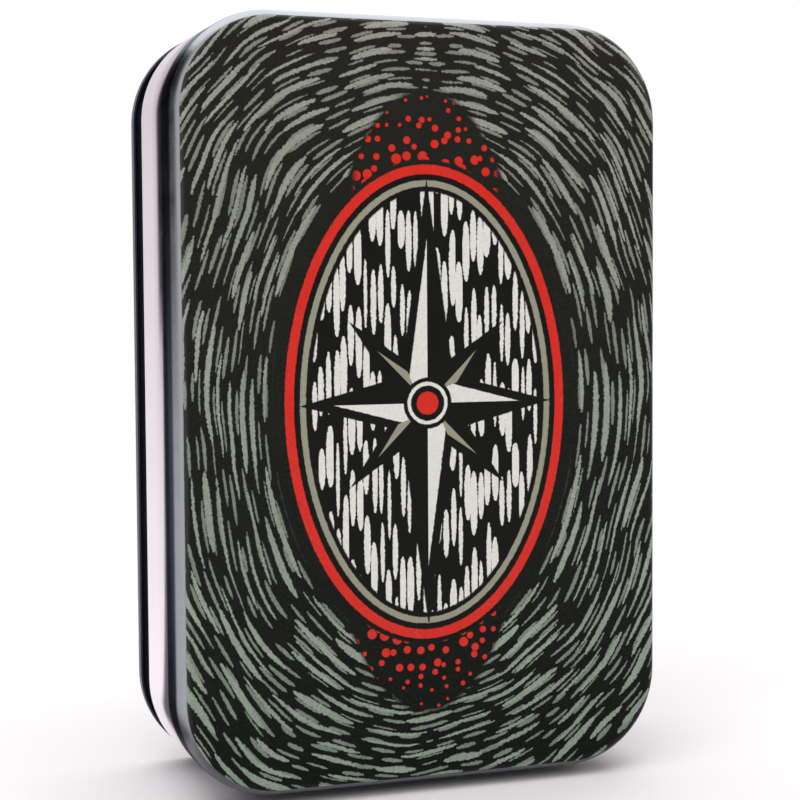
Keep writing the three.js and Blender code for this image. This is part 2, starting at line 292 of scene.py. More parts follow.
# %% Lines, arcs and the two faces of a sheet
def arc(centre, radius, start, end, steps):
    """Points along an arc, from one angle in degrees to another."""
    points = []
    for step in range(steps + 1):
        angle = math.radians(start + (end - start) * step / steps)
        points.append(Vector((
            centre[0] + radius * math.cos(angle),
            centre[1] + radius * math.sin(angle),
        )))
    return points


def offset_line(line, distance):
    """The line moved sideways by a distance, with mitred corners. Positive is to the left."""
    moved = []
    for place, point in enumerate(line):
        before = line[max(place - 1, 0)]
        after = line[min(place + 1, len(line) - 1)]
        into = (point - before).normalized()
        out_of = (after - point).normalized()
        along = (into + out_of).normalized()
        bend = max(along.dot(out_of if place == 0 else into), math.sqrt(0.5))
        left = Vector((-along.y, along.x))
        moved.append(point + left * (distance / bend))
    return moved


def sheet_section(line):
    """Both faces of the sheet: out along the left side, back along the right."""
    left = offset_line(line, sheet / 2)
    right = offset_line(line, -sheet / 2)
    return left + right[::-1]


quarter_turn = arc((0, 0), mm, 0, 90, 6)
print("a fold of 6 steps has", len(sheet_section(quarter_turn)), "section points")

# %% [markdown]
# ## One tree for every swept shell
#
# Lid, body wall and bottom are the same operation: a section carried round the tin's outline,
# which is a rectangle with filleted corners. It could be lofted ring by ring in Python, but
# Geometry Nodes state the rule directly, with its sizes as named inputs: a quadrilateral is
# filleted and `Curve to Mesh` sweeps the section along it. The section is a helper object made
# of edges, which `Object Info` fetches.

# %% Sweep a section round the outline
def rounded_outline(net, given, corner_points):
    outline = net.node("GeometryNodeCurvePrimitiveQuadrilateral")
    net.wire(given["Width"], outline.inputs["Width"])
    net.wire(given["Height"], outline.inputs["Height"])
    fillet = net.node("GeometryNodeFilletCurve", mode="POLY")
    net.wire(outline.outputs[0], fillet.inputs["Curve"])
    net.wire(given["Corner Radius"], fillet.inputs["Radius"])
    net.wire(corner_points, fillet.inputs["Count"])
    return fillet.outputs[0]


def swept_round_the_tin(net, given, section_name):
    upright = net.node("GeometryNodeSetCurveNormal", mode="Z_UP")
    net.wire(rounded_outline(net, given, given["Corner Points"]), upright.inputs["Curve"])
    section = net.node("GeometryNodeObjectInfo")
    net.wire(given[section_name], section.inputs["Object"])
    profile = net.node("GeometryNodeMeshToCurve")
    net.wire(section.outputs["Geometry"], profile.inputs["Mesh"])
    swept = net.node("GeometryNodeCurveToMesh")
    net.wire(upright.outputs[0], swept.inputs["Curve"])
    net.wire(profile.outputs[0], swept.inputs["Profile Curve"])
    return swept.outputs[0]


print(f"outline {tin_width / mm:.1f} x {tin_height / mm:.1f} mm, corners {corner_radius / mm:.1f} mm")

# %% [markdown]
# The body wall has a bead that the lid stops against, all round but for the hinge side. So the
# tree sweeps two sections with the same number of points, one plain and one with the bead
# raised, and moves each point from the plain place towards the raised one. How far it moves
# goes by its angle in the upper corners, so the bead fades out where the hinge plate begins.

# %% Blend from the plain section to the raised one
bead_fade = math.radians(22)


def raised_share(net, given):
    """How much of the raised section a point takes: all below, none along the hinge side."""
    here = net.parts(net.node("GeometryNodeInputPosition").outputs[0])
    half_width = net.over(given["Width"], 2.0)
    half_height = net.over(given["Height"], 2.0)
    reach = net.subtract(net.size(here["X"]), net.subtract(half_width, given["Corner Radius"]))
    rise = net.subtract(here["Y"], net.subtract(half_height, given["Corner Radius"]))
    angle = net.math("ARCTAN2", net.most(rise, 0.0), net.most(reach, 0.0))
    return net.subtract(1.0, net.step(angle, 0.0, given["Fade Angle"]))


def blended_shell(net, given):
    plain = swept_round_the_tin(net, given, "Section")
    raised = swept_round_the_tin(net, given, "Raised Section")
    here = net.node("GeometryNodeInputPosition").outputs[0]
    there = net.node("GeometryNodeSampleIndex", data_type="FLOAT_VECTOR", domain="POINT")
    net.wire(raised, there.inputs["Geometry"])
    net.wire(here, there.inputs["Value"])
    net.wire(net.node("GeometryNodeInputIndex").outputs[0], there.inputs["Index"])
    blend = net.node("ShaderNodeMix", data_type="VECTOR")
    net.wire(raised_share(net, given), blend.inputs["Factor"])
    net.wire(here, blend.inputs[4])
    net.wire(there.outputs[0], blend.inputs[5])
    moved = net.node("GeometryNodeSetPosition")
    net.wire(plain, moved.inputs["Geometry"])
    net.wire(blend.outputs[1], moved.inputs["Position"])
    return moved.outputs[0]


print(f"the bead fades over {math.degrees(bead_fade):.0f} degrees of the upper corners")

# %% [markdown]
# A tree has named inputs, which the modifier fills in later, and ends the same way each time.
# The outline is drawn flat, so the last nodes stand the shape upright in the tin's place, realise
# its instances and set a finish.

# %% Start and end of every shape tree
def new_shape_tree(name, inputs):
    tree = bpy.data.node_groups.new(name, "GeometryNodeTree")
    for label, kind in inputs:
        tree.interface.new_socket(label, in_out="INPUT", socket_type="NodeSocket" + kind)
    tree.interface.new_socket("Geometry", in_out="OUTPUT", socket_type="NodeSocketGeometry")
    net = Net(tree)
    return tree, net, net.node("NodeGroupInput").outputs


def stood_and_realised(net, given, flat):
    placed = net.node("GeometryNodeTransform")
    net.wire(flat, placed.inputs["Geometry"])
    net.wire(given["Front"], placed.inputs["Translation"])
    net.wire((math.radians(90), 0, 0), placed.inputs["Rotation"])
    real = net.node("GeometryNodeRealizeInstances")
    net.wire(placed.outputs[0], real.inputs["Geometry"])
    return real.outputs[0]


def finished(net, shape, material, chosen=True):
    made = net.node("GeometryNodeSetMaterial")
    net.wire(shape, made.inputs["Geometry"])
    net.wire(chosen, made.inputs["Selection"])
    net.wire(material, made.inputs["Material"])
    return made.outputs[0]


print("shape trees so far:", len(bpy.data.node_groups))

# %% [markdown]
# The sheet has two finishes, so the sweep sets one everywhere and then the other on a part. Each
# section point carries a mark that says whether it lies on the inner face of the sheet, and a
# face takes the mean of its points' marks. Print and bare tin meet exactly at the sheet's edge.

# %% The sweep tree
def swept_shell_tree():
    tree, net, given = new_shape_tree("sheet_metal_round_the_tin", (
        ("Section", "Object"),
        ("Raised Section", "Object"),
        ("Width", "Float"),
        ("Height", "Float"),
        ("Corner Radius", "Float"),
        ("Corner Points", "Int"),
        ("Fade Angle", "Float"),
        ("Front", "Vector"),
        ("Outer Finish", "Material"),
        ("Inner Finish", "Material"),
    ))
    real = stood_and_realised(net, given, blended_shell(net, given))
    outside = finished(net, real, given["Outer Finish"])
    mark = net.node("GeometryNodeInputNamedAttribute", data_type="FLOAT")
    net.wire("inner_face", mark.inputs["Name"])
    is_inner = net.above(mark.outputs["Attribute"], 0.75)
    both = finished(net, outside, given["Inner Finish"], is_inner)
    net.wire(both, net.node("NodeGroupOutput").inputs[0])
    return tree


shell_tree = swept_shell_tree()
print("sweep tree:", len(shell_tree.nodes), "nodes")

# %% [markdown]
# ## From tree to plain mesh
#
# A modifier gives the tree its values, each by the identifier of its socket, before the tree is
# evaluated for the first time. The evaluated result is then copied to a plain mesh and the
# modifier is removed, because other programs read meshes and not node trees.

# %% Evaluate a tree once and keep its mesh
def linked(name, data):
    made = bpy.data.objects.new(name, data)
    bpy.context.scene.collection.objects.link(made)
    return made


def mesh_as_shown(piece):
    """What modifiers, a bevel or a node tree make of the piece, as a mesh of its own."""
    graph = bpy.context.evaluated_depsgraph_get()
    return bpy.data.meshes.new_from_object(piece.evaluated_get(graph), depsgraph=graph)


def tree_result(name, tree, values):
    host = linked(name, bpy.data.meshes.new(name))
    modifier = host.modifiers.new("shape", "NODES")
    modifier.node_group = tree
    for item in tree.interface.items_tree:
        if item.item_type == "SOCKET" and item.in_out == "INPUT" and item.name in values:
            modifier[item.identifier] = values[item.name]
    mesh = mesh_as_shown(host)
    host.modifiers.remove(modifier)
    host.data = mesh
    mesh.name = name
    return host


# %% [markdown]
# The sweep leaves a hole at each flat end, such as the lid's face. Closing it with one large
# face each is enough, since nothing bends there. A closed body has an inside, so its signed
# volume tells whether its faces look outwards, and it is a good check: the sheet's volume is
# its area times its thickness.

# %% Close, turn and shade a shell
smooth_angle = math.radians(40)
weld = mm / 1000


def closed_shell(piece, outward):
    """The caps that face the outward side along Y take the outer finish, the others the inner."""
    shape = bmesh.new()
    shape.from_mesh(piece.data)
    bmesh.ops.remove_doubles(shape, verts=shape.verts, dist=weld)
    open_edges = [edge for edge in shape.edges if edge.is_boundary]
    caps = bmesh.ops.holes_fill(shape, edges=open_edges, sides=0)["faces"]
    volume = shape.calc_volume(signed=True)
    if volume < 0:
        bmesh.ops.reverse_faces(shape, faces=shape.faces)
    shape.normal_update()
    for face in caps:
        face.material_index = 0 if face.normal.y * outward > 0 else 1
    for face in shape.faces:
        face.smooth = True
    open_count = sum(not edge.is_manifold for edge in shape.edges)
    shape.to_mesh(piece.data)
    shape.free()
    piece.data.set_sharp_from_angle(angle=smooth_angle)
    print(f"{piece.name}: {len(piece.data.polygons)} faces, {len(caps)} caps, "
          f"{abs(volume) / mm ** 3:.0f} mm3, open edges {open_count}")
    return piece

# %% [markdown]
# One call now makes a shell from its sections. Sections that end at a cap are open lines, and
# the body wall's section, a closed sheet from mouth to hook, is a loop.

# %% A shell from its sections
corner_points = 24


def section_object(name, points, is_loop):
    count = len(points)
    edges = [(place, place + 1) for place in range(count - 1)]
    if is_loop:
        edges.append((count - 1, 0))
    mesh = bpy.data.meshes.new(name)
    mesh.from_pydata([(-inset, depth, 0) for inset, depth in points], edges, [])
    mark = mesh.attributes.new("inner_face", "FLOAT", "POINT")
    mark.data.foreach_set("value", [float(place >= count // 2) for place in range(count)])
    return linked(name, mesh)


def sheet_shell(name, section, outer, inner, raised=None, is_loop=False, outward=-1):
    helpers = [section_object("section", section, is_loop)]
    if raised is not None:
        helpers.append(section_object("raised", raised, is_loop))
    piece = tree_result(name, shell_tree, {
        "Section": helpers[0],
        "Raised Section": helpers[-1],
        "Width": tin_width,
        "Height": tin_height,
        "Corner Radius": corner_radius,
        "Corner Points": corner_points,
        "Fade Angle": bead_fade,
        "Front": (0, tin_front, middle_z),
        "Outer Finish": outer,
        "Inner Finish": inner,
    })
    for helper in helpers:
        bpy.data.objects.remove(helper)
    return closed_shell(piece, outward)


print(f"{corner_points} points round each corner")

# %% [markdown]
# ## Strokes like a woodcut
#
# The print is a woodcut: short pale strokes with tapered ends and rough edges on a near-black
# ground. Drawing each stroke would be endless, so a node group makes them by rule. The surface
# is divided into lanes, each lane into cells of random offset, and each cell holds one stroke
# whose ends and width are drawn by lot. The same group serves curved and straight hatching,
# because it only asks how far a point lies across the lanes and along them.

# %% A node group for engraved strokes
def strokes_group():
    tree = bpy.data.node_groups.new("engraved_strokes", "ShaderNodeTree")
    for name in ("Across", "Along", "Turn", "Pitch", "Length", "Width", "Seed", "Rough"):
        tree.interface.new_socket(name, in_out="INPUT", socket_type="NodeSocketFloat")
    tree.interface.new_socket("Place", in_out="INPUT", socket_type="NodeSocketVector")
    tree.interface.new_socket("Mask", in_out="OUTPUT", socket_type="NodeSocketFloat")
    net = Net(tree)
    given = net.node("NodeGroupInput").outputs
    lanes = net.over(given["Across"], given["Pitch"])
    lane = net.floor(lanes)
    lane_lot = net.lot(lane, given["Seed"], 0.0)["Value"]
    along = net.add(given["Along"], net.times(given["Turn"], net.times(lane, given["Pitch"])))
    cells = net.add(net.over(along, given["Length"]), net.times(lane_lot, 9.7))
    cell = net.floor(cells)
    lots = net.parts(net.lot(lane, cell, given["Seed"])["Color"])
    start = net.add(0.02, net.times(lots[0], 0.3))
    end = net.subtract(0.98, net.times(lots[1], 0.3))
    run = net.over(net.subtract(net.subtract(cells, cell), start), net.subtract(end, start))
    run = net.math("MULTIPLY", run, 1.0, clamp=True)
    body = net.math("POWER", net.times(4.0, net.without(run, run)), 0.45)
    thick = net.times(given["Width"], net.add(0.5, net.times(lots[2], 0.8)))
    half = net.times(net.over(thick, 2.0), body)
    drift = net.times(net.subtract(lots[1], 0.5), 0.3)
    beside = net.add(net.subtract(net.subtract(lanes, lane), 0.5), drift)
    ragged = net.times(net.subtract(net.noise(given["Place"], 2.6, 4.0, 0.65), 0.5), given["Rough"])
    off = net.add(net.times(net.size(beside), given["Pitch"]), ragged)
    soft = 0.05
    mask = net.step(off, net.add(half, soft), net.subtract(half, soft))
    net.wire(net.times(mask, net.above(half, 0.02)), net.node("NodeGroupOutput").inputs[0])
    return tree


strokes_tree = strokes_group()


def strokes(net, place, across, along, turn, pitch, length, width, seed, rough):
    """A mask of strokes. Pitch, length, width and roughness are in millimetres."""
    values = (across, along, turn, pitch, length, width, seed, rough, place)
    return net.wired(net.node("ShaderNodeGroup", node_tree=strokes_tree), values)


print("stroke group:", len(strokes_tree.nodes), "nodes")

# %% [markdown]
# ## What is printed on the lid
#
# The layout is a generic one: a compass star in an oval medallion, with hatching that runs round
# the medallion like ripples. All of it is built from distances in millimetres. One formula gives
# the distance to an oval of any size, and rings, halo and ripples are bands of that distance.

# %% Distance from the medallion
oval_width = 23.0
oval_height = 37.5


def oval_distance(net, x, z):
    """Distance from the medallion's edge, positive outside."""
    plain = net.distance(net.over(x, oval_width), net.over(z, oval_height))
    steep = net.distance(net.over(x, oval_width ** 2), net.over(z, oval_height ** 2))
    return net.over(net.times(plain, net.subtract(plain, 1.0)), steep)


def band(net, distance, low, high):
    """One between two distances and nothing outside them."""
    soft = 0.07
    inner = net.step(distance, low - soft, low + soft)
    outer = net.step(distance, high - soft, high + soft)
    return net.subtract(inner, outer)


print(f"medallion {2 * oval_width:.0f} x {2 * oval_height:.0f} mm")

# %% [markdown]
# A point of the star is a thin triangle, mirrored left and right. The depth of a place inside
# it falls evenly with the distance from its side, so a limit on that depth draws the star at
# any size, and two limits draw its outline. The later shading splits each point down its
# middle, one half pale and one dark, as on a compass rose.

# %% The star, as a depth
long_tip = 29.0
side_tip = 17.5
small_tip = 13.5
waist = 3.6
small_waist = 2.3


def star_point(net, along, across, tip, half_width):
    """How deep a place lies inside one point of the star, in millimetres."""
    slope = (tip - half_width) / half_width
    depth = net.subtract(net.subtract(tip, net.times(across, slope)), along)
    return net.times(depth, 1 / math.sqrt(1 + slope * slope))


def star_depth(net, x, z):
    """Depth inside the upright cross, and inside the four small points between its arms."""
    across = net.size(x)
    upright = net.size(z)
    is_upright = net.above(upright, across)
    cross = net.add(
        net.times(is_upright, star_point(net, upright, across, long_tip, waist)),
        net.without(star_point(net, across, upright, side_tip, waist), is_upright))
    diagonal = net.times(net.add(across, upright), math.sqrt(0.5))
    beside = net.times(net.size(net.subtract(across, upright)), math.sqrt(0.5))
    return cross, star_point(net, diagonal, beside, small_tip, small_waist)


print(f"star {2 * long_tip:.0f} mm high, {2 * side_tip:.0f} mm wide")

# %% [markdown]
# The lid is printed while it is still a flat sheet, and the sheet is pressed a moment later. So
# the edge of the print follows the lid's outline only roughly: here it sits a little to the
# right, as it does in the photograph. The distance to a rectangle with round corners says how
# far inside the outline a place lies.

# %% Distance from the lid's outline
print_shift = 0.4
outline_radius = corner_radius / mm


def edge_inset(net, x, z):
    shifted = net.size(net.subtract(x, print_shift))
    along_x = net.subtract(shifted, tin_width / mm / 2 - outline_radius)
    along_z = net.subtract(net.size(z), tin_height / mm / 2 - outline_radius)
    beyond = net.distance(net.most(along_x, 0.0), net.most(along_z, 0.0))
    within = net.least(net.most(along_x, along_z), 0.0)
    return net.subtract(outline_radius, net.add(beyond, within))


print(f"the print is {print_shift} mm off the lid's middle")

# %% [markdown]
# Several inks ask the same things about a place: where it lies on the lid, how deep it is behind
# the face, how far it is from the medallion's rim and whether it lies inside the print at all.
# They are worked out once and kept together under one name. A fine noise is added to the
# distances, so that every printed edge is a little ragged, as ink on metal is.

# %% What every ink asks about a place
halo_gap = 3.6
halo_rise = 9.5


def lid_place(net, place):
    spot = net.parts(place)
    here = SimpleNamespace(place=place, x=spot["X"])
    here.z = net.subtract(spot["Z"], middle_z / mm)
    here.depth = net.subtract(spot["Y"], tin_front / mm)
    here.low_share = net.scale(here.z, -60.0, 60.0, 1.0, 0.0)
    here.grain = net.noise(place, 3.4, 3.0, 0.7)
    here.ragged = net.times(net.subtract(net.noise(place, 1.6, 4.0, 0.6), 0.5), 0.35)
    here.oval = oval_distance(net, here.x, here.z)
    here.rim = net.add(here.oval, here.ragged)
    here.above = net.most(net.subtract(1.0, net.times(net.times(here.x, here.x), 1 / 190)), 0.0)
    here.past_halo = net.subtract(here.rim, net.add(halo_gap, net.times(here.above, halo_rise)))
    inset = net.add(edge_inset(net, here.x, here.z), net.times(here.ragged, 0.3))
    here.printed = net.step(inset, 0.85, 1.0)
    return here


print(f"halo {halo_gap} mm wide at the sides, {halo_gap + halo_rise:.1f} mm at the top")

# %% [markdown]
# The hatching runs round the medallion, so its lanes are distances from the oval and its strokes
# follow the angle. Further out a slow wave bends the lanes, which keeps them from looking ruled.
# Bold strokes carry the picture and fine ones fill the gaps between them, in a weaker ink. Each
# kind has its own pitch from lane to lane, and its own seed, so they never fall together.

# %% Ripples of hatching
ripple_radius = (oval_width + oval_height) / 2
bold_strokes = {"pitch": 2.0, "length": 18.0, "width": 0.88, "seed": 3.0, "rough": 0.8}
fine_strokes = {"pitch": 1.3, "length": 8.0, "width": 0.5, "seed": 8.0, "rough": 0.6}
fine_strength = 0.7


def hatching(net, here):
    wave = net.times(net.subtract(net.noise(here.place, 0.045, 1.0), 0.5), 7.0)
    ripple = net.add(here.oval, net.times(wave, net.step(here.oval, 3.0, 14.0)))
    upward = net.over(here.z, oval_height)
    sideward = net.over(net.size(here.x), oval_width)
    angle = net.math("ARCTAN2", upward, sideward)
    round_it = net.times(angle, ripple_radius)
    bold = strokes(net, here.place, ripple, round_it, angle, **bold_strokes)
    fine = strokes(net, here.place, ripple, round_it, angle, **fine_strokes)
    either = net.most(bold, net.times(fine, fine_strength))
    outside = net.step(here.past_halo, -0.3, 1.2)
    return net.times(either, net.times(outside, here.printed))


print(f"ripples are measured at a radius of {ripple_radius:.1f} mm")

# %% [markdown]
# A near-black ground, sage strokes, a red and a white make the picture. Ink on metal is never
# even, so the grain mixes each with a second tone, and the ground and the sage turn greener
# towards the foot of the lid, as the photograph shows. The ground is also painted lighter and
# warmer towards the top, a painted sheen that stands for the varnish mirroring light from above.
# Two flat tones, a night black and a dull bone, serve for borders and thin rings. Outside the
# print, round the fold, dark varnish lies over the metal, and on the bend next to the face the
# metal is painted lighter: a painted highlight along the lid's edge.

# %% The inks
night = paint(22, 22, 20)
bone = paint(150, 150, 130)


def ground_ink(net, here):
    # Painted sheen: the ground is lighter and warmer at the top, for the varnish mirroring light from
    # above; its greener foot is the ink's own tint.
    ground = net.mix(here.low_share, paint(32, 31, 26), paint(9, 17, 11))
    ground = net.mix(net.scale(here.grain, 0.4, 0.75, 0.0, 0.4), ground, paint(50, 49, 44))
    # Painted highlight: the dark varnished metal of the fold is made lighter on the bend next to the
    # face, where the edge's highlight falls.
    fold = net.mix(net.step(here.depth, 2.4, 1.2), paint(72, 76, 88), paint(160, 162, 168))
    return net.mix(here.printed, fold, ground)


def sage_ink(net, here):
    cloudy = net.noise(here.place, 0.06, 2.0)
    sage = net.mix(here.low_share, paint(172, 170, 159), paint(156, 174, 156))
    sage = net.mix(net.scale(cloudy, 0.3, 0.7, 0.0, 0.5), sage, paint(130, 142, 128))
    return net.mix(net.scale(here.grain, 0.4, 0.65, 0.35, 0.0), sage, paint(70, 74, 66))


def red_ink(net, here):
    worn = net.scale(here.grain, 0.35, 0.7, 0.0, 0.5)
    return net.mix(worn, paint(220, 44, 32), paint(184, 34, 27))


def white_ink(net, here):
    worn = net.scale(here.grain, 0.35, 0.65, 0.0, 0.5)
    return net.mix(worn, paint(232, 231, 224), paint(196, 196, 188))


print(f"in linear light night is {night[0]:.3f} and bone {bone[0]:.3f}")

# %% [markdown]
# Red dots fill the halo above and below the medallion, large near its rim and small further out.
# A Voronoi texture is made for this: it gives each cell a centre and a colour drawn by lot, so
# the distance to the centre draws the dot and the colour varies its size.

# %% Dots in the halo
dot_spacing = 2.3


def halo_dots(net, here):
    cells = net.node("ShaderNodeTexVoronoi", voronoi_dimensions="2D", feature="F1")
    net.wire(net.vector(here.x, here.z, 0.0), cells.inputs["Vector"])
    net.wire(1 / dot_spacing, cells.inputs["Scale"])
    net.wire(0.75, cells.inputs["Randomness"])
    lot = net.parts(cells.outputs["Color"])[0]
    fade = net.scale(here.oval, 2.0, 12.0, 0.36, 0.12)
    radius = net.times(fade, net.add(0.6, net.times(lot, 0.5)))
    dot = net.step(cells.outputs["Distance"], net.add(radius, 0.03), net.subtract(radius, 0.03))
    inside_halo = net.times(net.step(here.rim, 2.0, 2.3), net.step(here.past_halo, 0.2, -0.4))
    return net.times(dot, net.times(inside_halo, net.step(here.above, 0.12, 0.3)))


print(f"dots every {dot_spacing} mm")

# %% [markdown]
# The medallion is laid over the hatching like a second plate: dark inside, a red ring on its
# rim, a thin bone ring within, and a field of upright white strokes. Each step mixes one ink
# into the colour so far, by a mask, which is how a printer lays one ink over another.

# %% The medallion
field_inset = 2.9
upright_strokes = {"pitch": 1.25, "length": 14.0, "width": 1.15, "seed": 5.0, "rough": 0.6}


def with_medallion(net, here, colour, red, white):
    colour = net.mix(net.step(here.rim, 0.3, 0.0), colour, night)
    colour = net.mix(band(net, here.rim, -0.2, 1.35), colour, red)
    colour = net.mix(band(net, here.rim, -2.2, -1.2), colour, bone)
    upright = strokes(net, here.place, here.x, here.z, 0.0, **upright_strokes)
    field = net.times(upright, net.step(here.rim, -field_inset, -field_inset - 0.3))
    return net.mix(field, colour, white)


print(f"the field of strokes starts {field_inset} mm inside the rim")

# %% [markdown]
# The star comes last. A dark border keeps it clear of the field. Of each long point one half is
# white, of each small one half is bone. Which half it is follows from two comparisons: whether
# the place is more upright than sideways, and whether x and z have the same sign. A dark disc, a
# white ring and a red boss close the middle.

# %% The star
disc_radius = 4.3
boss_radius = 2.0


def with_star(net, here, colour, red, white):
    cross, small_points = star_depth(net, here.x, here.z)
    star = net.add(net.most(cross, small_points), here.ragged)
    colour = net.mix(net.step(star, -1.2, -1.0), colour, night)
    upright = net.above(net.size(here.z), net.size(here.x))
    same_side = net.above(net.times(here.x, here.z), 0.0)
    lit = net.size(net.subtract(upright, same_side))
    pale = net.times(lit, net.step(net.add(cross, here.ragged), 0.25, 0.4))
    colour = net.mix(pale, colour, white)
    clear = net.subtract(small_points, net.most(cross, -0.3))
    tip = net.times(net.step(clear, 0.3, 0.45), lit)
    colour = net.mix(net.times(tip, net.step(small_points, 0.2, 0.35)), colour, bone)
    centre = net.add(net.distance(here.x, here.z), here.ragged)
    colour = net.mix(net.step(centre, disc_radius, disc_radius - 0.2), colour, night)
    colour = net.mix(band(net, centre, 2.9, 3.5), colour, white)
    return net.mix(net.step(centre, boss_radius, boss_radius - 0.2), colour, red)


print(f"disc of {2 * disc_radius} mm and boss of {2 * boss_radius} mm in the middle of the star")

# %% [markdown]
# A drawn lid isn't made of exact planes and arcs: its bend turns unevenly where it meets the
# face, and its skirt leans a little. Both are too slight for the outline but decide what the
# varnish mirrors, so they are given to the bump, which turns the surface's direction and moves
# nothing. The bump also holds the thickness of the ink and the orange peel of the varnish.

# %% Bend, lean and ink thickness
bend_reach = 1.9
bend_rise = 0.23
lean_reach = 14.5
lean_rise = 0.029
ink_height = 0.012


def lid_relief(net, here, hatch):
    peel = net.noise(here.place, 0.9, 2.0)
    ink = net.times(net.add(net.times(peel, 0.5), net.times(hatch, 0.25)), ink_height)
    tight = net.most(net.subtract(bend_reach, here.depth), 0.0)
    slack = net.most(net.subtract(lean_reach, here.depth), 0.0)
    bend = net.times(net.times(tight, tight), bend_rise)
    lean = net.times(net.times(slack, slack), lean_rise)
    return net.add(ink, net.subtract(bend, lean))


print(f"the bend's share ends {bend_reach} mm behind the face, the lean's {lean_reach} mm")

# %% [markdown]
# Now the finish itself. The print and its varnish end on the skirt, and from there on the sheet
# is bare. Its colour is painted darker and pinker above than below, a painted reflection of the
# room that the bare metal mirrors. Bare sheet is a metal and printed sheet is not, and the
# border round the print is metal seen through varnish.

# %% The lid's finish
print_end = 7.0
bare_start = 8.4


def make_lid_print():
    material, net, shader, place = new_material("lid_print")
    here = lid_place(net, place)
    hatch = hatching(net, here)
    red = red_ink(net, here)
    white = white_ink(net, here)
    colour = net.mix(hatch, ground_ink(net, here), sage_ink(net, here))
    colour = net.mix(halo_dots(net, here), colour, red)
    colour = with_medallion(net, here, colour, red, white)
    colour = with_star(net, here, colour, red, white)
    bare = net.step(here.depth, print_end, bare_start)
    # Painted reflection: the bare skirt's colour is darker and pinker above and lighter below, for
    # what the metal mirrors.
    silver_painted_reflection = net.mix(here.low_share, paint(190, 170, 184), paint(253, 243, 251))
    varnish = net.scale(net.noise(place, 0.14, 3.0, 0.6), 0.3, 0.75, 0.2, 0.32)
    roughness = net.without(varnish, net.times(bare, 0.35))
    relief = net.bump(lid_relief(net, here, hatch), mm)
    dress(net, shader, net.mix(bare, colour, silver_painted_reflection), roughness, relief)
    net.wire(net.most(bare, net.subtract(1.0, here.printed)), shader.inputs["Metallic"])
    shader.inputs["Specular IOR Level"].default_value = 0.4
    return material


lid_print = make_lid_print()
print("lid print:", len(lid_print.node_tree.nodes), "nodes")

# %% [markdown]
# ## Bare tinplate
#
# Inside, the sheet is bare tin over steel. It isn't an even mirror: the mill leaves fine lines
# along the sheet, drawing leaves fainter ones down the skirt, and the tin itself clouds.
# Stretching the coordinates before a noise gives each of these its direction.

# %% Bare tin
def make_bare_tin():
    material, net, shader, place = new_material("bare_tin")
    spot = net.parts(place)
    x, y, z = spot["X"], spot["Y"], spot["Z"]
    mill = net.vector(net.times(x, 5.0), net.times(y, 5.0), net.times(z, 0.1))
    draw = net.vector(net.times(x, 3.0), net.times(y, 0.2), net.times(z, 3.0))
    rolled = net.noise(mill, 1.0, 3.0, 0.6)
    drawn = net.noise(draw, 1.0, 2.0)
    cloud = net.scale(net.noise(place, 0.12, 3.0, 0.6), 0.3, 0.7, 0.0, 1.0)
    tone = net.mix(cloud, paint(188, 190, 195), paint(222, 222, 226))
    colour = net.mix(net.scale(rolled, 0.4, 0.7, 0.0, 0.35), tone, paint(166, 168, 174))
    roughness = net.scale(rolled, 0.3, 0.7, 0.2, 0.36)
    dress(net, shader, colour, roughness, net.bump(net.add(rolled, drawn), 0.006 * mm))
    shader.inputs["Metallic"].default_value = 1.0
    return material


bare_tin = make_bare_tin()
print("bare tin:", len(bare_tin.node_tree.nodes), "nodes")

# %% [markdown]
# Where the sheet was cut, its end is torn rather than smooth and catches light from every side.
# It is brighter and rougher than the rolled face, and only partly metallic, which stands for
# the broken surface.

# %% Cut edges
def make_cut_edge():
    material, net, shader, place = new_material("cut_edge")
    torn = net.noise(place, 4.0, 3.0, 0.7)
    share = net.scale(torn, 0.3, 0.7, 0.0, 1.0)
    tone = net.mix(share, paint(176, 176, 182), paint(240, 238, 242))
    dress(net, shader, tone, net.scale(torn, 0.3, 0.7, 0.4, 0.65), net.bump(torn, 0.03 * mm))
    shader.inputs["Metallic"].default_value = 0.4
    return material


cut_edge = make_cut_edge()
print("cut edge:", len(cut_edge.node_tree.nodes), "nodes")

# %% [markdown]
# ## The body's dark lacquer
#
# The body and the bottom carry a midnight blue lacquer, baked on before the sheet was bent. It
# is satin and slightly wavy. Where the seam's outer bend rubs on a table, small chips show tin.
# The lacquer's index of refraction is a constant a little under glass, so its mirror is weak.

# %% Body lacquer
rub_start = 30.55
rub_end = 30.95


def make_body_lacquer():
    material, net, shader, place = new_material("body_lacquer")
    depth = net.subtract(net.parts(place)["Y"], tin_front / mm)
    peel = net.noise(place, 0.7, 2.0)
    dust = net.noise(place, 5.0, 2.0, 0.6)
    cloud = net.scale(net.noise(place, 0.08, 2.0), 0.3, 0.7, 0.0, 1.0)
    tone = net.mix(cloud, paint(18, 18, 38), paint(30, 29, 55))
    tone = net.mix(net.scale(dust, 0.5, 0.8, 0.0, 0.3), tone, paint(50, 50, 74))
    chips = net.step(net.noise(place, 1.3, 4.0, 0.65), 0.64, 0.67)
    wear = net.times(net.step(depth, rub_start, rub_end), chips)
    relief = net.bump(net.subtract(net.times(peel, 0.6), wear), 0.012 * mm)
    roughness = net.scale(dust, 0.3, 0.7, 0.34, 0.46)
    dress(net, shader, net.mix(wear, tone, paint(186, 186, 192)), roughness, relief)
    net.wire(wear, shader.inputs["Metallic"])
    shader.inputs["IOR"].default_value = 1.4
    return material


body_lacquer = make_body_lacquer()
print("body lacquer:", len(body_lacquer.node_tree.nodes), "nodes")

# %% [markdown]
# ## Plastic, card and paper
#
# The tray is thin black plastic, formed over a mould that leaves a faint grain. A noise of fine
# scale gives both the grain's height and its roughness, and a slow one keeps the black uneven.

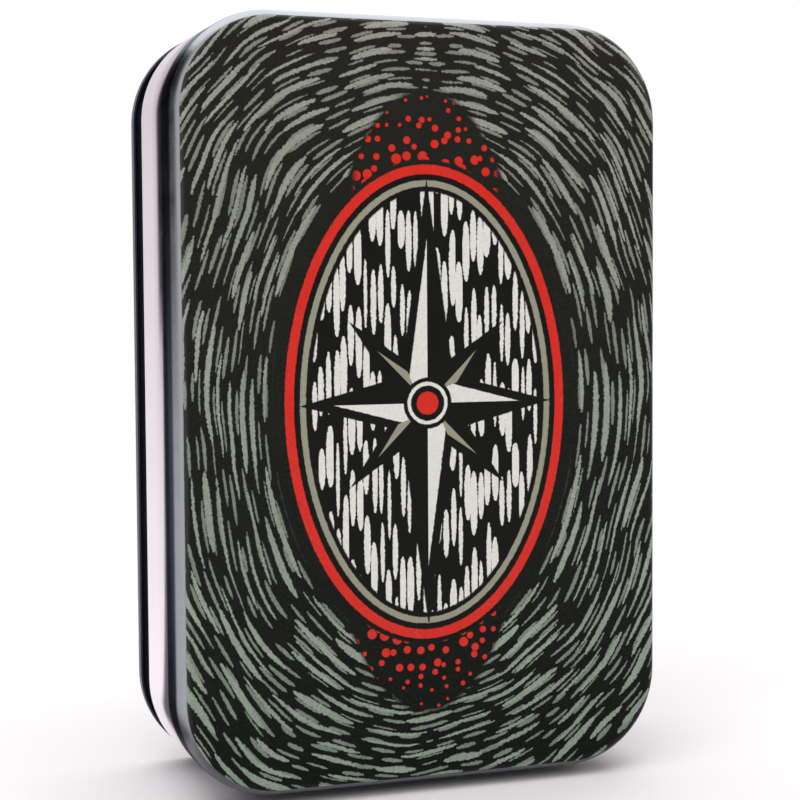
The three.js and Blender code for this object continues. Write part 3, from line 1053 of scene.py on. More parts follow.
# %% Tray plastic
def make_tray_plastic():
    material, net, shader, place = new_material("tray_plastic")
    grain = net.noise(place, 6.0, 3.0, 0.7)
    colour = net.mix(net.noise(place, 0.06, 2.0), paint(22, 22, 24), paint(36, 36, 39))
    dress(net, shader, colour, net.scale(grain, 0.3, 0.7, 0.36, 0.54), net.bump(grain, 0.02 * mm))
    return material


tray_plastic = make_tray_plastic()
print("tray plastic:", len(tray_plastic.node_tree.nodes), "nodes")

# %% [markdown]
# The construction model holds the deck as five squared-up packets. The first and the last give
# the deck's place and size, and with a card's thickness they give the pitch from card to card.

# %% Measures of the deck
card_low, card_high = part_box("card_packet_1")
last_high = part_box("card_packet_5")[1]
card_width = card_high.x - card_low.x
card_height = card_high.z - card_low.z
card_middle = (card_low.z + card_high.z) / 2
card_count = 45
card_thickness = 0.32 * mm
card_pitch = (last_high.y - card_low.y - card_thickness) / (card_count - 1)
print(f"{card_count} cards {card_width / mm:.0f} x {card_height / mm:.0f}, "
      f"one every {card_pitch / mm:.3f} mm")

# %% [markdown]
# The back of a card carries a lattice inside a white border. The lattice is two sets of
# diagonal lines with a dot where they leave room: the fractional part of x + z and of x - z
# repeats one diamond all over, and everything in it is a distance from the diamond's middle. The
# border needs the distance past an inner rectangle, which the booklet's cover will use as well.

# %% The lattice on the card backs
card_border = 4.5
diamond = 4.6


def lattice(net, x, z):
    one_way = net.subtract(net.math("FRACT", net.times(net.add(x, z), 1 / diamond)), 0.5)
    other_way = net.subtract(net.math("FRACT", net.times(net.subtract(x, z), 1 / diamond)), 0.5)
    far = net.most(net.size(one_way), net.size(other_way))
    near = net.distance(one_way, other_way)
    return net.most(net.step(far, 0.41, 0.44), net.step(near, 0.17, 0.14))


def beyond_border(net, x, z, width, height, border):
    """Distance past an inner rectangle, in millimetres, negative inside it."""
    past_side = net.subtract(net.size(x), width / mm / 2 - border)
    past_end = net.subtract(net.size(z), height / mm / 2 - border)
    return net.most(past_side, past_end)


print(f"lattice of {diamond} mm inside a border of {card_border} mm")

# %% [markdown]
# Cards are coated white stock. Only the top card shows its back, so the ink is limited to the
# first tenth of a millimetre of the deck. Every other card shows only its edge, and each edge
# differs a little in tone, by a lot drawn from the card's number. That is what makes a stack of
# paper read as a deck and not as a block.

# %% Card stock
def make_card_stock():
    material, net, shader, place = new_material("card_stock")
    spot = net.parts(place)
    x = spot["X"]
    z = net.subtract(spot["Z"], card_middle / mm)
    first = net.step(spot["Y"], card_low.y / mm + 0.15, card_low.y / mm + 0.08)
    border = beyond_border(net, x, z, card_width, card_height, card_border)
    ink = net.mix(lattice(net, x, z), paint(34, 50, 44), paint(178, 182, 160))
    inside = net.times(first, net.step(border, 0.1, 0.0))
    line = net.times(first, band(net, border, 0.7, 1.15))
    behind_first = net.subtract(spot["Y"], card_low.y / mm)
    number = net.floor(net.times(behind_first, mm / card_pitch))
    fibre = net.noise(place, 3.0, 3.0, 0.6)
    stock = net.mix(net.lot(number, 4.0, 2.0)["Value"], paint(232, 229, 219), paint(214, 209, 196))
    stock = net.mix(net.scale(fibre, 0.4, 0.7, 0.0, 0.3), stock, paint(198, 192, 178))
    colour = net.mix(line, net.mix(inside, stock, ink), paint(150, 34, 28))
    roughness = net.scale(fibre, 0.3, 0.7, 0.32, 0.5)
    dress(net, shader, colour, roughness, net.bump(fibre, 0.006 * mm))
    return material


card_stock = make_card_stock()
print("card stock:", len(card_stock.node_tree.nodes), "nodes")

# %% [markdown]
# The booklet is plain uncoated paper, matt and slightly yellow. Its cover has a thin frame and
# the compass star again, small: the star's distances serve a second time at 2.1 times the
# coordinates. The fibres keep a little of the ink off, as rough paper does. No lettering is
# drawn anywhere.

# %% Booklet paper
book_low, book_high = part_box("rules_booklet")
emblem_scale = 2.1
cover_border = 5.0


def make_booklet_paper():
    material, net, shader, place = new_material("booklet_paper")
    spot = net.parts(place)
    x = spot["X"]
    z = net.subtract(spot["Z"], (book_low.z + book_high.z) / 2 / mm)
    fibre = net.noise(place, 2.2, 4.0, 0.7)
    paper = net.mix(net.noise(place, 0.2, 2.0), paint(224, 217, 198), paint(208, 199, 177))
    paper = net.mix(net.scale(fibre, 0.45, 0.7, 0.0, 0.35), paper, paint(178, 168, 146))
    cover = net.step(spot["Y"], book_low.y / mm + 0.07, book_low.y / mm + 0.04)
    cross, small_points = star_depth(net, net.times(x, emblem_scale), net.times(z, emblem_scale))
    emblem = net.step(net.most(cross, small_points), 0.1, 0.3)
    book_size = book_high - book_low
    border = beyond_border(net, x, z, book_size.x, book_size.z, cover_border)
    ink = net.most(emblem, band(net, border, -0.35, 0.0))
    inked = net.times(net.times(ink, cover), net.step(fibre, 0.3, 0.42))
    roughness = net.scale(fibre, 0.3, 0.7, 0.62, 0.8)
    colour = net.mix(inked, paper, paint(38, 50, 45))
    dress(net, shader, colour, roughness, net.bump(fibre, 0.02 * mm))
    return material


booklet_paper = make_booklet_paper()
print("booklet paper:", len(booklet_paper.node_tree.nodes), "nodes")

# %% [markdown]
# ## The lid
#
# The lid is drawn from one sheet: a flat face, a small bend, a skirt, and at its rim a hem, the
# edge folded inwards until it nearly closes. The hem makes the rim safe to touch and stiff. The
# line starts a little way in on the face, because the flat part is closed afterwards. Short
# straights next to each bend hold the shading of the flat parts flat.

# %% The lid
lid_skirt = 22.5 * mm
hem_thickness = 1.0 * mm
edge_radius = 2.2 * mm
hold = 0.4 * mm
face_margin = 1.0 * mm
sheet_mid = sheet / 2
hem_mid = (hem_thickness - sheet) / 2
hem_centre = lid_skirt - hem_thickness / 2

lid_line = [Vector((edge_radius + face_margin, sheet_mid)), Vector((edge_radius + hold, sheet_mid))]
lid_line += arc((edge_radius, edge_radius), edge_radius - sheet_mid, -90, -180, 12)
lid_line += [Vector((sheet_mid, edge_radius + hold)), Vector((sheet_mid, hem_centre - hold))]
lid_line += arc((sheet_mid + hem_mid, hem_centre), hem_mid, 180, -45, 18)
lid_shell = sheet_shell("printed_lid", sheet_section(lid_line), lid_print, bare_tin)
print(f"skirt {lid_skirt / mm:.1f} mm deep, hem {hem_thickness / mm:.1f} mm thick")

# %% [markdown]
# ## The body wall
#
# The wall's front end is curled inwards into a round mouth, so no sharp edge meets a hand. From
# there the wall runs straight to the lid's rim, where a bead stops the lid, and its far end is
# bent outwards into the hook that the bottom's seam closes over. The bead is a squared sine,
# which leaves and meets the wall without a crease.

# %% The body wall
wall_inset = 1.715 * mm
mouth_depth = 14.5 * mm
mouth_curl = 1.0 * mm
bead_width = 2.8 * mm
bead_inset = 0.4 * mm
bead_steps = 20
hook_radius = 0.5 * mm
wall_mid = wall_inset + sheet / 2
curl_mid = (mouth_curl - sheet) / 2
curl_centre = mouth_depth + mouth_curl / 2
hook_depth = tin_depth - sheet - seat_gap - sheet / 2 - hook_radius


def body_line(bead_rise):
    line = arc((wall_mid + curl_mid, curl_centre), curl_mid, 50, -180, 18)
    line += [Vector((wall_mid, curl_centre + hold)), Vector((wall_mid, lid_skirt - hold))]
    for step in range(bead_steps + 1):
        share = step / bead_steps
        rise = bead_rise * math.sin(share * math.pi) ** 2
        line.append(Vector((wall_mid - rise, lid_skirt + bead_width * share)))
    line += [Vector((wall_mid, lid_skirt + bead_width + hold))]
    line += [Vector((wall_mid, hook_depth - hold))]
    line += arc((wall_mid - hook_radius, hook_depth), hook_radius, 0, 90, 6)
    return line + [Vector((sheet + seat_gap, hook_depth + hook_radius))]


plain_wall = sheet_section(body_line(0))
beaded_wall = sheet_section(body_line(wall_inset - bead_inset))
body_wall = sheet_shell(
    "lacquered_body_wall", plain_wall, body_lacquer, bare_tin, raised=beaded_wall, is_loop=True)
print(f"the bead stands {(wall_inset - bead_inset) / mm:.2f} mm out of the wall")

# %% [markdown]
# ## The bottom and its seam
#
# The bottom is a panel set into the body's end. Its edge runs up inside the wall, over the hook
# and down outside, and is tucked in under it: a can maker's seam, which holds without solder.
# The step in the panel stiffens it. The line runs from the middle to the edge like the lid's,
# but the panel's outer side looks the other way, so the two halves of the section are swapped to
# put the lacquer outside.

# %% The bottom and its seam
seam_height = 2.4 * mm
seam_radius = 0.5 * mm
seam_tuck = 0.2 * mm
fold_radius = 0.6 * mm
panel_step = 0.5 * mm
step_inset = 7.0 * mm
step_end = step_inset + panel_step
panel_mid = tin_depth - seam_height - sheet / 2
chuck_mid = wall_inset + sheet + seat_gap + sheet / 2
seam_centre = tin_depth - sheet / 2 - seam_radius

bottom_line = [
    Vector((step_end + face_margin, panel_mid + panel_step)),
    Vector((step_end, panel_mid + panel_step)),
    Vector((step_inset, panel_mid)),
    Vector((chuck_mid + fold_radius + hold, panel_mid)),
]
bottom_line += arc((chuck_mid + fold_radius, panel_mid + fold_radius), fold_radius, -90, -180, 6)
bottom_line += arc((chuck_mid - seam_radius, seam_centre), seam_radius, 0, 90, 6)
bottom_line += arc((sheet_mid + seam_radius, seam_centre), seam_radius, 90, 180, 6)
bottom_line += [
    Vector((sheet_mid, tin_depth - seam_height)),
    Vector((sheet_mid + seam_tuck, tin_depth - seam_height - seam_tuck)),
]
bottom_section = sheet_section(bottom_line)[::-1]
bottom_panel = sheet_shell("seamed_bottom", bottom_section, body_lacquer, bare_tin, outward=1)
print(f"the seam stands {seam_height / mm:.1f} mm over the panel")

# %% [markdown]
# ## Pieces that are not swept
#
# The hinge, the tray and the booklet need other shapes, and each is built from lists of points
# and faces. The points come in an order that is easy to think of, and no care is taken which way
# the faces look: the signed volume of the finished body tells, and they are all turned if it is
# negative. Smooth shading is set by angle, so that real folds stay sharp.

# %% Closed bodies from points and faces
shade_angle = math.radians(35)


def turn_outwards(piece):
    shape = bmesh.new()
    shape.from_mesh(piece.data)
    bmesh.ops.remove_doubles(shape, verts=shape.verts, dist=weld)
    if shape.calc_volume(signed=True) < 0:
        bmesh.ops.reverse_faces(shape, faces=shape.faces)
    shape.to_mesh(piece.data)
    shape.free()
    return piece


def closed_piece(name, points, faces, materials):
    mesh = bpy.data.meshes.new(name)
    mesh.from_pydata(points, [], faces)
    for material in materials:
        mesh.materials.append(material)
    return turn_outwards(linked(name, mesh))


def check_closed(piece):
    shape = bmesh.new()
    shape.from_mesh(piece.data)
    open_count = sum(not edge.is_manifold for edge in shape.edges)
    volume = shape.calc_volume(signed=True) / mm ** 3
    shape.free()
    print(f"{piece.name}: {len(piece.data.polygons)} faces, {volume:.0f} mm3, open {open_count}")


def shade_and_check(piece):
    for face in piece.data.polygons:
        face.use_smooth = True
    piece.data.set_sharp_from_angle(angle=shade_angle)
    check_closed(piece)


print(f"folds over {math.degrees(shade_angle):.0f} degrees stay sharp")

# %% [markdown]
# Two ways to get the points cover nearly everything. A loft joins rings of points one after the
# other and closes the first and the last. A prism is the loft with two rings that are alike: an
# outline, and how far it is carried. The small `put` functions say which way an outline lies.

# %% Lofts and prisms
def loft(name, rings, materials):
    count = len(rings[0])
    points = [point for ring in rings for point in ring]
    last = len(points) - count
    faces = [tuple(range(count)), tuple(range(last + count - 1, last - 1, -1))]
    for start in range(0, last, count):
        for here in range(count):
            after = (here + 1) % count
            near = (start + here, start + count + here)
            far = (start + count + after, start + after)
            faces.append(near + far)
    return closed_piece(name, points, faces, materials)


def prism(name, outline, put, start, end, materials):
    rings = [[put(first, second, third) for first, second in outline] for third in (start, end)]
    return loft(name, rings, materials)


def put_back(across, height, depth):
    return (across, tin_front + depth, middle_z + height)


def put_across(depth, height, across):
    return (across, tin_front + depth, middle_z + height)


face_middle = [round(value / mm, 1) for value in put_back(0, 0, 0)]
print("the middle of the lid's face lies at", face_middle, "mm")

# %% [markdown]
# Some pieces are one sheet on the real tin although they are easier to make in parts. An exact
# boolean joins them truly, with no face left inside, and the same tool cuts a notch. The other
# pieces are only tools, so they are removed once they have done their work.

# %% Join and cut
boolean_solver = "EXACT"


def combine(piece, others, operation):
    for other in others:
        modifier = piece.modifiers.new("combine", "BOOLEAN")
        modifier.operation = operation
        modifier.solver = boolean_solver
        modifier.object = other
        mesh = mesh_as_shown(piece)
        piece.modifiers.remove(modifier)
        piece.data = mesh
        bpy.data.objects.remove(other)


print("booleans are solved as", boolean_solver)

# %% [markdown]
# ## The hinge: curled knuckles and a wire
#
# A tin's hinge is part of its sheet. Tabs of the lid and of a plate lapped over the body run
# past the pin and curl round it, in turn. All five knuckles share one section, so one function
# makes them all, curled the other way for the plate. The knuckles take unequal shares of the
# hinge's length, as on real tins: the middle one is the longest.

# %% Knuckles
pin_radius = 0.65 * mm
knuckle_mid = pin_radius + seat_gap + sheet / 2
knuckle_gap = 0.4 * mm
knuckle_turn = 285
hinge_length = 44.0 * mm
knuckle_shares = (0, 0.15, 0.35, 0.65, 0.85, 1)
hinge = Vector(frame["joints"][0]["pos_m"])
hinge_depth = hinge.y - tin_front
hinge_height = hinge.z - middle_z


def knuckle(place, tab_start, turn, materials):
    curl = arc((hinge_depth, hinge_height), knuckle_mid, -90, turn - 90, 36)
    section = sheet_section([Vector(tab_start)] + curl)
    left = hinge_length * (knuckle_shares[place] - 0.5) + knuckle_gap / 2
    right = hinge_length * (knuckle_shares[place + 1] - 0.5) - knuckle_gap / 2
    made = prism(f"knuckle_{place}", section, put_across, left, right, materials)
    for face in made.data.polygons:
        face.material_index = 1
    return made


print(f"hinge axis {hinge_depth / mm:.1f} mm deep, {hinge_height / mm:.1f} mm above the middle")

# %% [markdown]
# The lid owns the second and the fourth knuckle. Their tabs start in its hem, so after the
# boolean the sheet of the lid and the curl round the wire are one body, without a seam.

# %% The lid's two knuckles
lid_tab = (hem_centre, tin_height / 2 - hem_thickness + sheet_mid)
lid_finishes = (lid_print, bare_tin)
lid_knuckles = [knuckle(place, lid_tab, knuckle_turn, lid_finishes) for place in (1, 3)]
combine(lid_shell, lid_knuckles, "UNION")
shade_and_check(lid_shell)

# %% [markdown]
# The plate is a strip bent round the body's upper end and a little way down its corners. Its
# outline is two arcs and the straight between them, once for each face of the sheet. Its cut
# edges are bare, because the sheet was lacquered before it was cut: they are the faces that look
# along the tin's depth, and the two small ends.

# %% The strip of the hinge plate
plate_wrap = 28
plate_mid = wall_inset - seat_gap - sheet / 2
plate_front = lid_skirt + knuckle_gap
plate_back = tin_depth - seam_height - seam_tuck - knuckle_gap
plate_finishes = (body_lacquer, cut_edge)
end_area = 3 * mm * mm


def strip_line(inset):
    """The plate's line seen from the front, from its left end to its right one."""
    radius = corner_radius - inset
    side = tin_width / 2 - corner_radius
    height = tin_height / 2 - corner_radius
    left = arc((-side, height), radius, 180 - plate_wrap, 90, 24)
    right = arc((side, height), radius, 90, plate_wrap, 24)
    return left + right


strip = strip_line(plate_mid - sheet / 2) + strip_line(plate_mid + sheet / 2)[::-1]
hinge_plate = prism("hinge_plate_lapped", strip, put_back, plate_front, plate_back, plate_finishes)
for face in hinge_plate.data.polygons:
    outwards = Vector((face.center.x, 0, face.center.z - middle_z)).normalized()
    is_rim = abs(face.normal.y) > 0.5
    is_end = face.area < end_area and abs(face.normal.dot(outwards)) < 0.5
    face.material_index = 1 if is_rim or is_end else 0
print("bare faces of the plate:", sum(face.material_index for face in hinge_plate.data.polygons))

# %% [markdown]
# At the hinge the plate is cut back, so the lid's knuckles have room to turn, and its own three
# tabs start at the cut. Each starts a hair below the strip's outer face, because two faces in
# exactly one plane are what a boolean handles worst.

# %% Cut the plate back and add its knuckles
tab_front = hinge_depth + knuckle_gap + knuckle_mid + sheet / 2
tab_drop = 0.005 * mm
pin_head_start = hinge_length / 2 - knuckle_gap / 2 + seat_gap
pin_head_end = pin_head_start + 0.6 * mm
cut_half = pin_head_end + knuckle_gap
cut_low = tin_height / 2 - plate_mid - mm
cut_line = [(-cut_half, hinge_height), (cut_half, hinge_height)]
cut_line += [(cut_half, cut_low), (-cut_half, cut_low)]
cut = prism("cut", cut_line, put_back, plate_front - mm, tab_front, plate_finishes)
combine(hinge_plate, [cut], "DIFFERENCE")
plate_tab = (tab_front + sheet, tin_height / 2 - plate_mid - tab_drop)
plate_knuckles = [knuckle(place, plate_tab, -knuckle_turn, plate_finishes) for place in (0, 2, 4)]
combine(hinge_plate, plate_knuckles, "UNION")
shade_and_check(hinge_plate)

# %% [markdown]
# The pin is a plain wire whose ends are upset, hammered thicker, once it is through, and that
# keeps it in place. It is turned like on a lathe: a profile of radius and place along X becomes
# one ring of points each. The profile is written for one half and mirrored.

# %% The pin, a wire with upset ends
pin_sides = 32
pin_head_radius = 1.15 * mm
dome = 0.3 * mm
half_pin = [
    (pin_radius, pin_head_start - 0.15 * mm),
    (pin_head_radius - 0.1 * mm, pin_head_start),
    (pin_head_radius, pin_head_start + 0.1 * mm),
    (pin_head_radius, pin_head_end - dome),
]
for point in arc((pin_head_radius - dome, pin_head_end - dome), dome, 30, 90, 2):
    half_pin.append((point.x, point.y))
pin_profile = [(radius, -along) for radius, along in half_pin[::-1]] + half_pin


def ring_round_hinge(radius, along):
    turns = [2 * math.pi * side / pin_sides for side in range(pin_sides)]
    return [
        (along, hinge.y + radius * math.cos(turn), hinge.z + radius * math.sin(turn))
        for turn in turns
    ]


pin_rings = [ring_round_hinge(radius, along) for radius, along in pin_profile]
hinge_pin = loft("hinge_wire", pin_rings, (bare_tin,))
shade_and_check(hinge_pin)

# %% [markdown]
# ## The tray
#
# The tray is one formed sheet: a well for the cards, a flange round it that meets the tin's
# mouth, and a skirt down to the bottom. Its well and its skirt are rounded rectangles of
# different roundness, so it can't be swept like the shells. It is lofted through rings, each
# with its own width, height and corner radius.

# %% Measures of the tray and its rings
tray_wall = 0.5 * mm
tray_fold = 0.6 * mm
tray_low, tray_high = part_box("insert_tray")
card_radius = 3.5 * mm
well_width = card_width + 0.6 * mm
well_height = card_height + 2.0 * mm
well_radius = card_radius + 0.3 * mm
tray_width = tray_high.x - tray_low.x
tray_height = tray_high.z - tray_low.z
tray_radius = corner_radius - (tin_width - tray_width) / 2
tray_flange = tray_low.y - tin_front
tray_foot = tray_high.y - tin_front


def rounded_ring(width, height, radius, depth):
    ring = []
    for quarter, (side_x, side_z) in enumerate(((1, 1), (-1, 1), (-1, -1), (1, -1))):
        centre = (side_x * (width / 2 - radius), side_z * (height / 2 - radius))
        for point in arc(centre, radius, 90 * quarter, 90 * quarter + 90, 16):
            ring.append(put_back(point.x, point.y, depth))
    return ring


print(f"tray {tray_width / mm:.1f} x {tray_height / mm:.1f}, well {well_width / mm:.1f} mm wide")

# %% [markdown]
# The section has two parts. The first climbs from the well's floor to the flange and is told as
# a distance from the well's side, the second goes from the flange down the skirt and is told as
# a distance from the outer side. Going there along the front face of the sheet and back along
# the other gives one closed body, the whole tray.

# %% The tray
def tray_rings(side):
    """The front face of the sheet for side 1, its back face for side -1."""
    flange_mid = tray_flange + tray_wall / 2
    floor_mid = tray_foot - tray_wall / 2
    hold_off = 1.5 * tray_fold
    well = [Vector((2.5 * tray_fold, floor_mid))]
    well += arc((tray_fold, floor_mid - tray_fold), tray_fold, 90, 180, 8)
    well += [Vector((0, floor_mid - hold_off)), Vector((0, flange_mid + hold_off))]
    well += arc((-tray_fold, flange_mid + tray_fold), tray_fold, 0, -90, 8)
    skirt = arc((tray_fold, flange_mid + tray_fold), tray_fold, -90, -180, 8)
    skirt += [Vector((0, flange_mid + hold_off)), Vector((0, tray_foot))]
    rings = []
    for point in offset_line(well, side * tray_wall / 2):
        out = tray_wall / 2 - point.x
        rings.append(rounded_ring(
            well_width + 2 * out, well_height + 2 * out, well_radius + out, point.y))
    for point in offset_line(skirt, side * tray_wall / 2):
        away = tray_wall / 2 + point.x
        rings.append(rounded_ring(
            tray_width - 2 * away, tray_height - 2 * away, tray_radius - away, point.y))
    return rings


insert_tray = loft("formed_tray", tray_rings(1) + tray_rings(-1)[::-1], (tray_plastic,))
print("tray before its notches:", len(insert_tray.data.polygons), "faces")

# %% [markdown]
# Cards that fill a well can't be picked up, so the tray has a round notch on each long side for
# thumb and finger. Each is cut with a cylinder that lies across the flange.

# %% Notches for thumb and finger
notch_radius = 9.0 * mm
notch_sides = 64
notch_start = card_width / 2 - mm
notch_end = tray_width / 2 - 2 * tray_wall
last_turn = 360 - 360 / notch_sides
round_line = arc((tray_flange, 0), notch_radius, 0, last_turn, notch_sides - 1)
notches = [
    prism("notch", round_line, put_across, side * notch_start, side * notch_end, (tray_plastic,))
    for side in (-1, 1)
]
combine(insert_tray, notches, "DIFFERENCE")
shade_and_check(insert_tray)

# %% [markdown]
# ## The deck
#
# Forty-five cards lie in the well. One card is drawn, by the same outline as the tin's: a
# rectangle with filleted corners, filled and made thick. Extruding leaves the first face out,
# so a flipped copy of it closes the back.

# %% One card, as nodes
def card_shape(net, given):
    face = net.node("GeometryNodeFillCurve", mode="NGONS")
    net.wire(rounded_outline(net, given, 8), face.inputs["Curve"])
    thick = net.node("GeometryNodeExtrudeMesh")
    net.wire(face.outputs[0], thick.inputs["Mesh"])
    net.wire((0, 0, 1), thick.inputs["Offset"])
    net.wire(given["Thickness"], thick.inputs["Offset Scale"])
    back = net.node("GeometryNodeFlipFaces")
    net.wire(face.outputs[0], back.inputs["Mesh"])
    both = net.node("GeometryNodeJoinGeometry")
    net.wire(thick.outputs[0], both.inputs[0])
    net.wire(back.outputs[0], both.inputs[0])
    card = net.node("GeometryNodeMergeByDistance")
    net.wire(both.outputs[0], card.inputs["Geometry"])
    net.wire(weld, card.inputs["Distance"])
    return card.outputs[0]


print(f"a card has corners of {card_radius / mm} mm")

# %% [markdown]
# The deck is a line of points with the card on each. Every point is shifted and turned a hair by
# a seeded random value, as in a deck that has been squared up by hand. The instances are
# realised in the end, because an export keeps only meshes.

# %% A squared-up pile, as nodes
shift_seed = 7
turn_seed = 11
most_turn = math.radians(0.08)


def random_vector(net, low, high, seed):
    made = net.node("FunctionNodeRandomValue", data_type="FLOAT_VECTOR")
    net.wire(low, made.inputs[0])
    net.wire(high, made.inputs[1])
    net.wire(seed, made.inputs["Seed"])
    return made.outputs[0]


def deck_tree():
    tree, net, given = new_shape_tree("deck_of_cards", (
        ("Cards", "Int"),
        ("Width", "Float"),
        ("Height", "Float"),
        ("Corner Radius", "Float"),
        ("Thickness", "Float"),
        ("Pitch", "Float"),
        ("Slack", "Float"),
        ("Front", "Vector"),
        ("Finish", "Material"),
    ))
    line = net.node("GeometryNodeMeshLine")
    net.wire(given["Cards"], line.inputs["Count"])
    net.wire(net.vector(0, 0, net.times(given["Pitch"], -1.0)), line.inputs["Offset"])
    less = net.times(given["Slack"], -1.0)
    low = net.vector(less, less, 0.0)
    high = net.vector(given["Slack"], given["Slack"], 0.0)
    loose = net.node("GeometryNodeSetPosition")
    net.wire(line.outputs[0], loose.inputs["Geometry"])
    net.wire(random_vector(net, low, high, shift_seed), loose.inputs["Offset"])
    turn = random_vector(net, (0, 0, -most_turn), (0, 0, most_turn), turn_seed)
    cards = net.node("GeometryNodeInstanceOnPoints")
    net.wire(loose.outputs[0], cards.inputs["Points"])
    net.wire(card_shape(net, given), cards.inputs["Instance"])
    net.wire(turn, cards.inputs["Rotation"])
    real = stood_and_realised(net, given, cards.outputs[0])
    done = finished(net, real, given["Finish"])
    net.wire(done, net.node("NodeGroupOutput").inputs[0])
    return tree


pile_tree = deck_tree()
print("deck tree:", len(pile_tree.nodes), "nodes")

# %% [markdown]
# The sizes come from the construction model's packets. The slack is what such a deck has when
# its edges have been knocked on a table: a seventh of a millimetre either way.

# %% The deck
card_slack = 0.14 * mm
deck = tree_result("deck_of_cards", pile_tree, {
    "Cards": card_count,
    "Width": card_width,
    "Height": card_height,
    "Corner Radius": card_radius,
    "Thickness": card_thickness,
    "Pitch": card_pitch,
    "Slack": card_slack,
    "Front": (0, card_low.y + card_thickness, card_middle),
    "Finish": card_stock,
})
turn_outwards(deck)
check_closed(deck)

# %% [markdown]
# ## The rules
#
# The booklet is a few sheets folded round each other and stapled on the spine. Each sheet is a
# section again: two leaves joined by a half turn, wider for each sheet further out. The outer
# sheets spend more of their length on the fold, so the inner ones creep out a little at the free
# edge, as in a real booklet.

# %% Folded sheets
book_thick = book_high.y - book_low.y
book_middle = (book_low.y + book_high.y) / 2
sheet_count = 5
paper = 0.1 * mm
creep = 0.12 * mm
leaf_pitch = (book_thick / 2 - paper / 2) / sheet_count
spine_x = book_low.x + book_thick / 2


def put_up(across, depth, height):
    return (across, book_middle + depth, height)


def folded_sheet(place):
    radius = leaf_pitch * (place + 0.5)
    free_edge = book_high.x - creep * place
    line = [Vector((free_edge, -radius))]
    line += arc((spine_x, 0), radius, 270, 90, 12)
    line += [Vector((free_edge, radius))]
    section = offset_line(line, paper / 2) + offset_line(line, -paper / 2)[::-1]
    return prism(f"sheet_{place}", section, put_up, book_low.z, book_high.z, (booklet_paper,))


print(f"{sheet_count} folded sheets make {4 * sheet_count} pages, {book_thick / mm:.1f} mm thick")

# %% [markdown]
# A staple is wire, so it is drawn as a path with a round bevel: a crown along the spine and two
# legs that go in through the fold. The path becomes a mesh as soon as its shape is known.

# %% Staples
staple_wire = 0.22 * mm
staple_half = 6.0 * mm
staple_bend = 0.4 * mm
staple_spacing = 26.0 * mm


def staple(height):
    curve = bpy.data.curves.new("staple", "CURVE")
    curve.dimensions = "3D"
    curve.bevel_depth = staple_wire
    curve.bevel_resolution = 2
    curve.use_fill_caps = True
    out = book_low.x + 0.1 * mm
    line = [
        (spine_x + mm, -staple_half),
        (out + staple_bend, -staple_half),
        (out, staple_bend - staple_half),
    ]
    line += [(across, -along) for across, along in line[::-1]]
    path = curve.splines.new("POLY")
    path.points.add(len(line) - 1)
    for point, (across, along) in zip(path.points, line):
        point.co = (across, book_middle, height + along, 1)
    drawn = linked("staple", curve)
    made = linked("staple", mesh_as_shown(drawn))
    bpy.data.objects.remove(drawn)
    turn_outwards(made)
    for face in made.data.polygons:
        face.material_index = 1
    return made


print(f"staples {2 * staple_half / mm:.0f} mm long")

# %% [markdown]
# Sheets and staples become one object, since the booklet is lifted out as one piece. Paper is
# its first finish and bare tin its second, which is what the staples' faces ask for.

# %% The booklet
def join(name, pieces, materials):
    shape = bmesh.new()
    for piece in pieces:
        shape.from_mesh(piece.data)
        bpy.data.objects.remove(piece)
    mesh = bpy.data.meshes.new(name)
    shape.to_mesh(mesh)
    shape.free()
    for material in materials:
        mesh.materials.append(material)
    return linked(name, mesh)


booklet_pieces = [folded_sheet(place) for place in range(sheet_count)]
booklet_pieces += [staple(middle_z + side * staple_spacing) for side in (-1, 1)]
booklet = join("folded_rules", booklet_pieces, (booklet_paper, bare_tin))
shade_and_check(booklet)

# %% [markdown]
# ## Who rides on what
#
# Each visible piece takes the place of its construction solid and follows one body of the
# mechanism: the lid turns, and all the rest stays with the base.

# %% Replace the solids and ride the bodies
packets = [f"card_packet_{number}" for number in range(1, 6)]
for piece, body, nodes, slot in (
    (lid_shell, "lid", ["lid_shell"], "lid_print"),
    (body_wall, "base", ["body_wall"], "body_lacquer"),
    (bottom_panel, "base", ["bottom_panel"], "body_lacquer"),
    (hinge_plate, "base", ["hinge_plate"], "body_lacquer"),
    (hinge_pin, "base", ["hinge_pin"], "bare_tin"),
    (insert_tray, "base", ["insert_tray"], "tray_plastic"),
    (deck, "base", packets, "card_stock"),
    (booklet, "base", ["rules_booklet"], "rules_paper"),
):
    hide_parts(*nodes)
    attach(piece, body)
    print(f"{piece.name} rides on {body} in place of {', '.join(nodes)}")

# %% [markdown]
# ## Studio
#
# The tin stands on white paper in soft light. A large soft box to the left of the camera lights
# the bare skirt, one overhead lights the tin's upper side and the paper, and a weak one to the
# right opens the shadows. The left one is kept out of mirrors, because it would show as a white
# patch in the varnish of the rounded corners.

# %% Soft boxes
def soft_box(name, place, size, brightness):
    """It looks at the middle of the tin. Its brightness is what a mirror would show of it."""
    lamp = bpy.data.lights.new(name, "AREA")
    lamp.shape = "RECTANGLE"
    lamp.size, lamp.size_y = size
    lamp.energy = brightness * math.pi * size[0] * size[1]
    made = linked(name, lamp)
    made.location = place
    look = Vector((0, 0, middle_z)) - Vector(place)
    made.rotation_euler = look.to_track_quat("-Z", "Y").to_euler()
    return made


left_box = soft_box(
    "tall_box_left", place=(-0.5, -0.66, 0.8), size=(0.95, 0.9), brightness=1.7)
left_box.visible_glossy = False
overhead_box = soft_box(
    "overhead_box", place=(0.0, 0.05, 0.95), size=(1.4, 1.2), brightness=1.9)
right_box = soft_box(
    "fill_right", place=(0.75, -0.45, 0.5), size=(0.5, 0.5), brightness=1.2)
for box in (left_box, overhead_box, right_box):
    print(f"{box.name}: {box.data.energy:.1f} W")

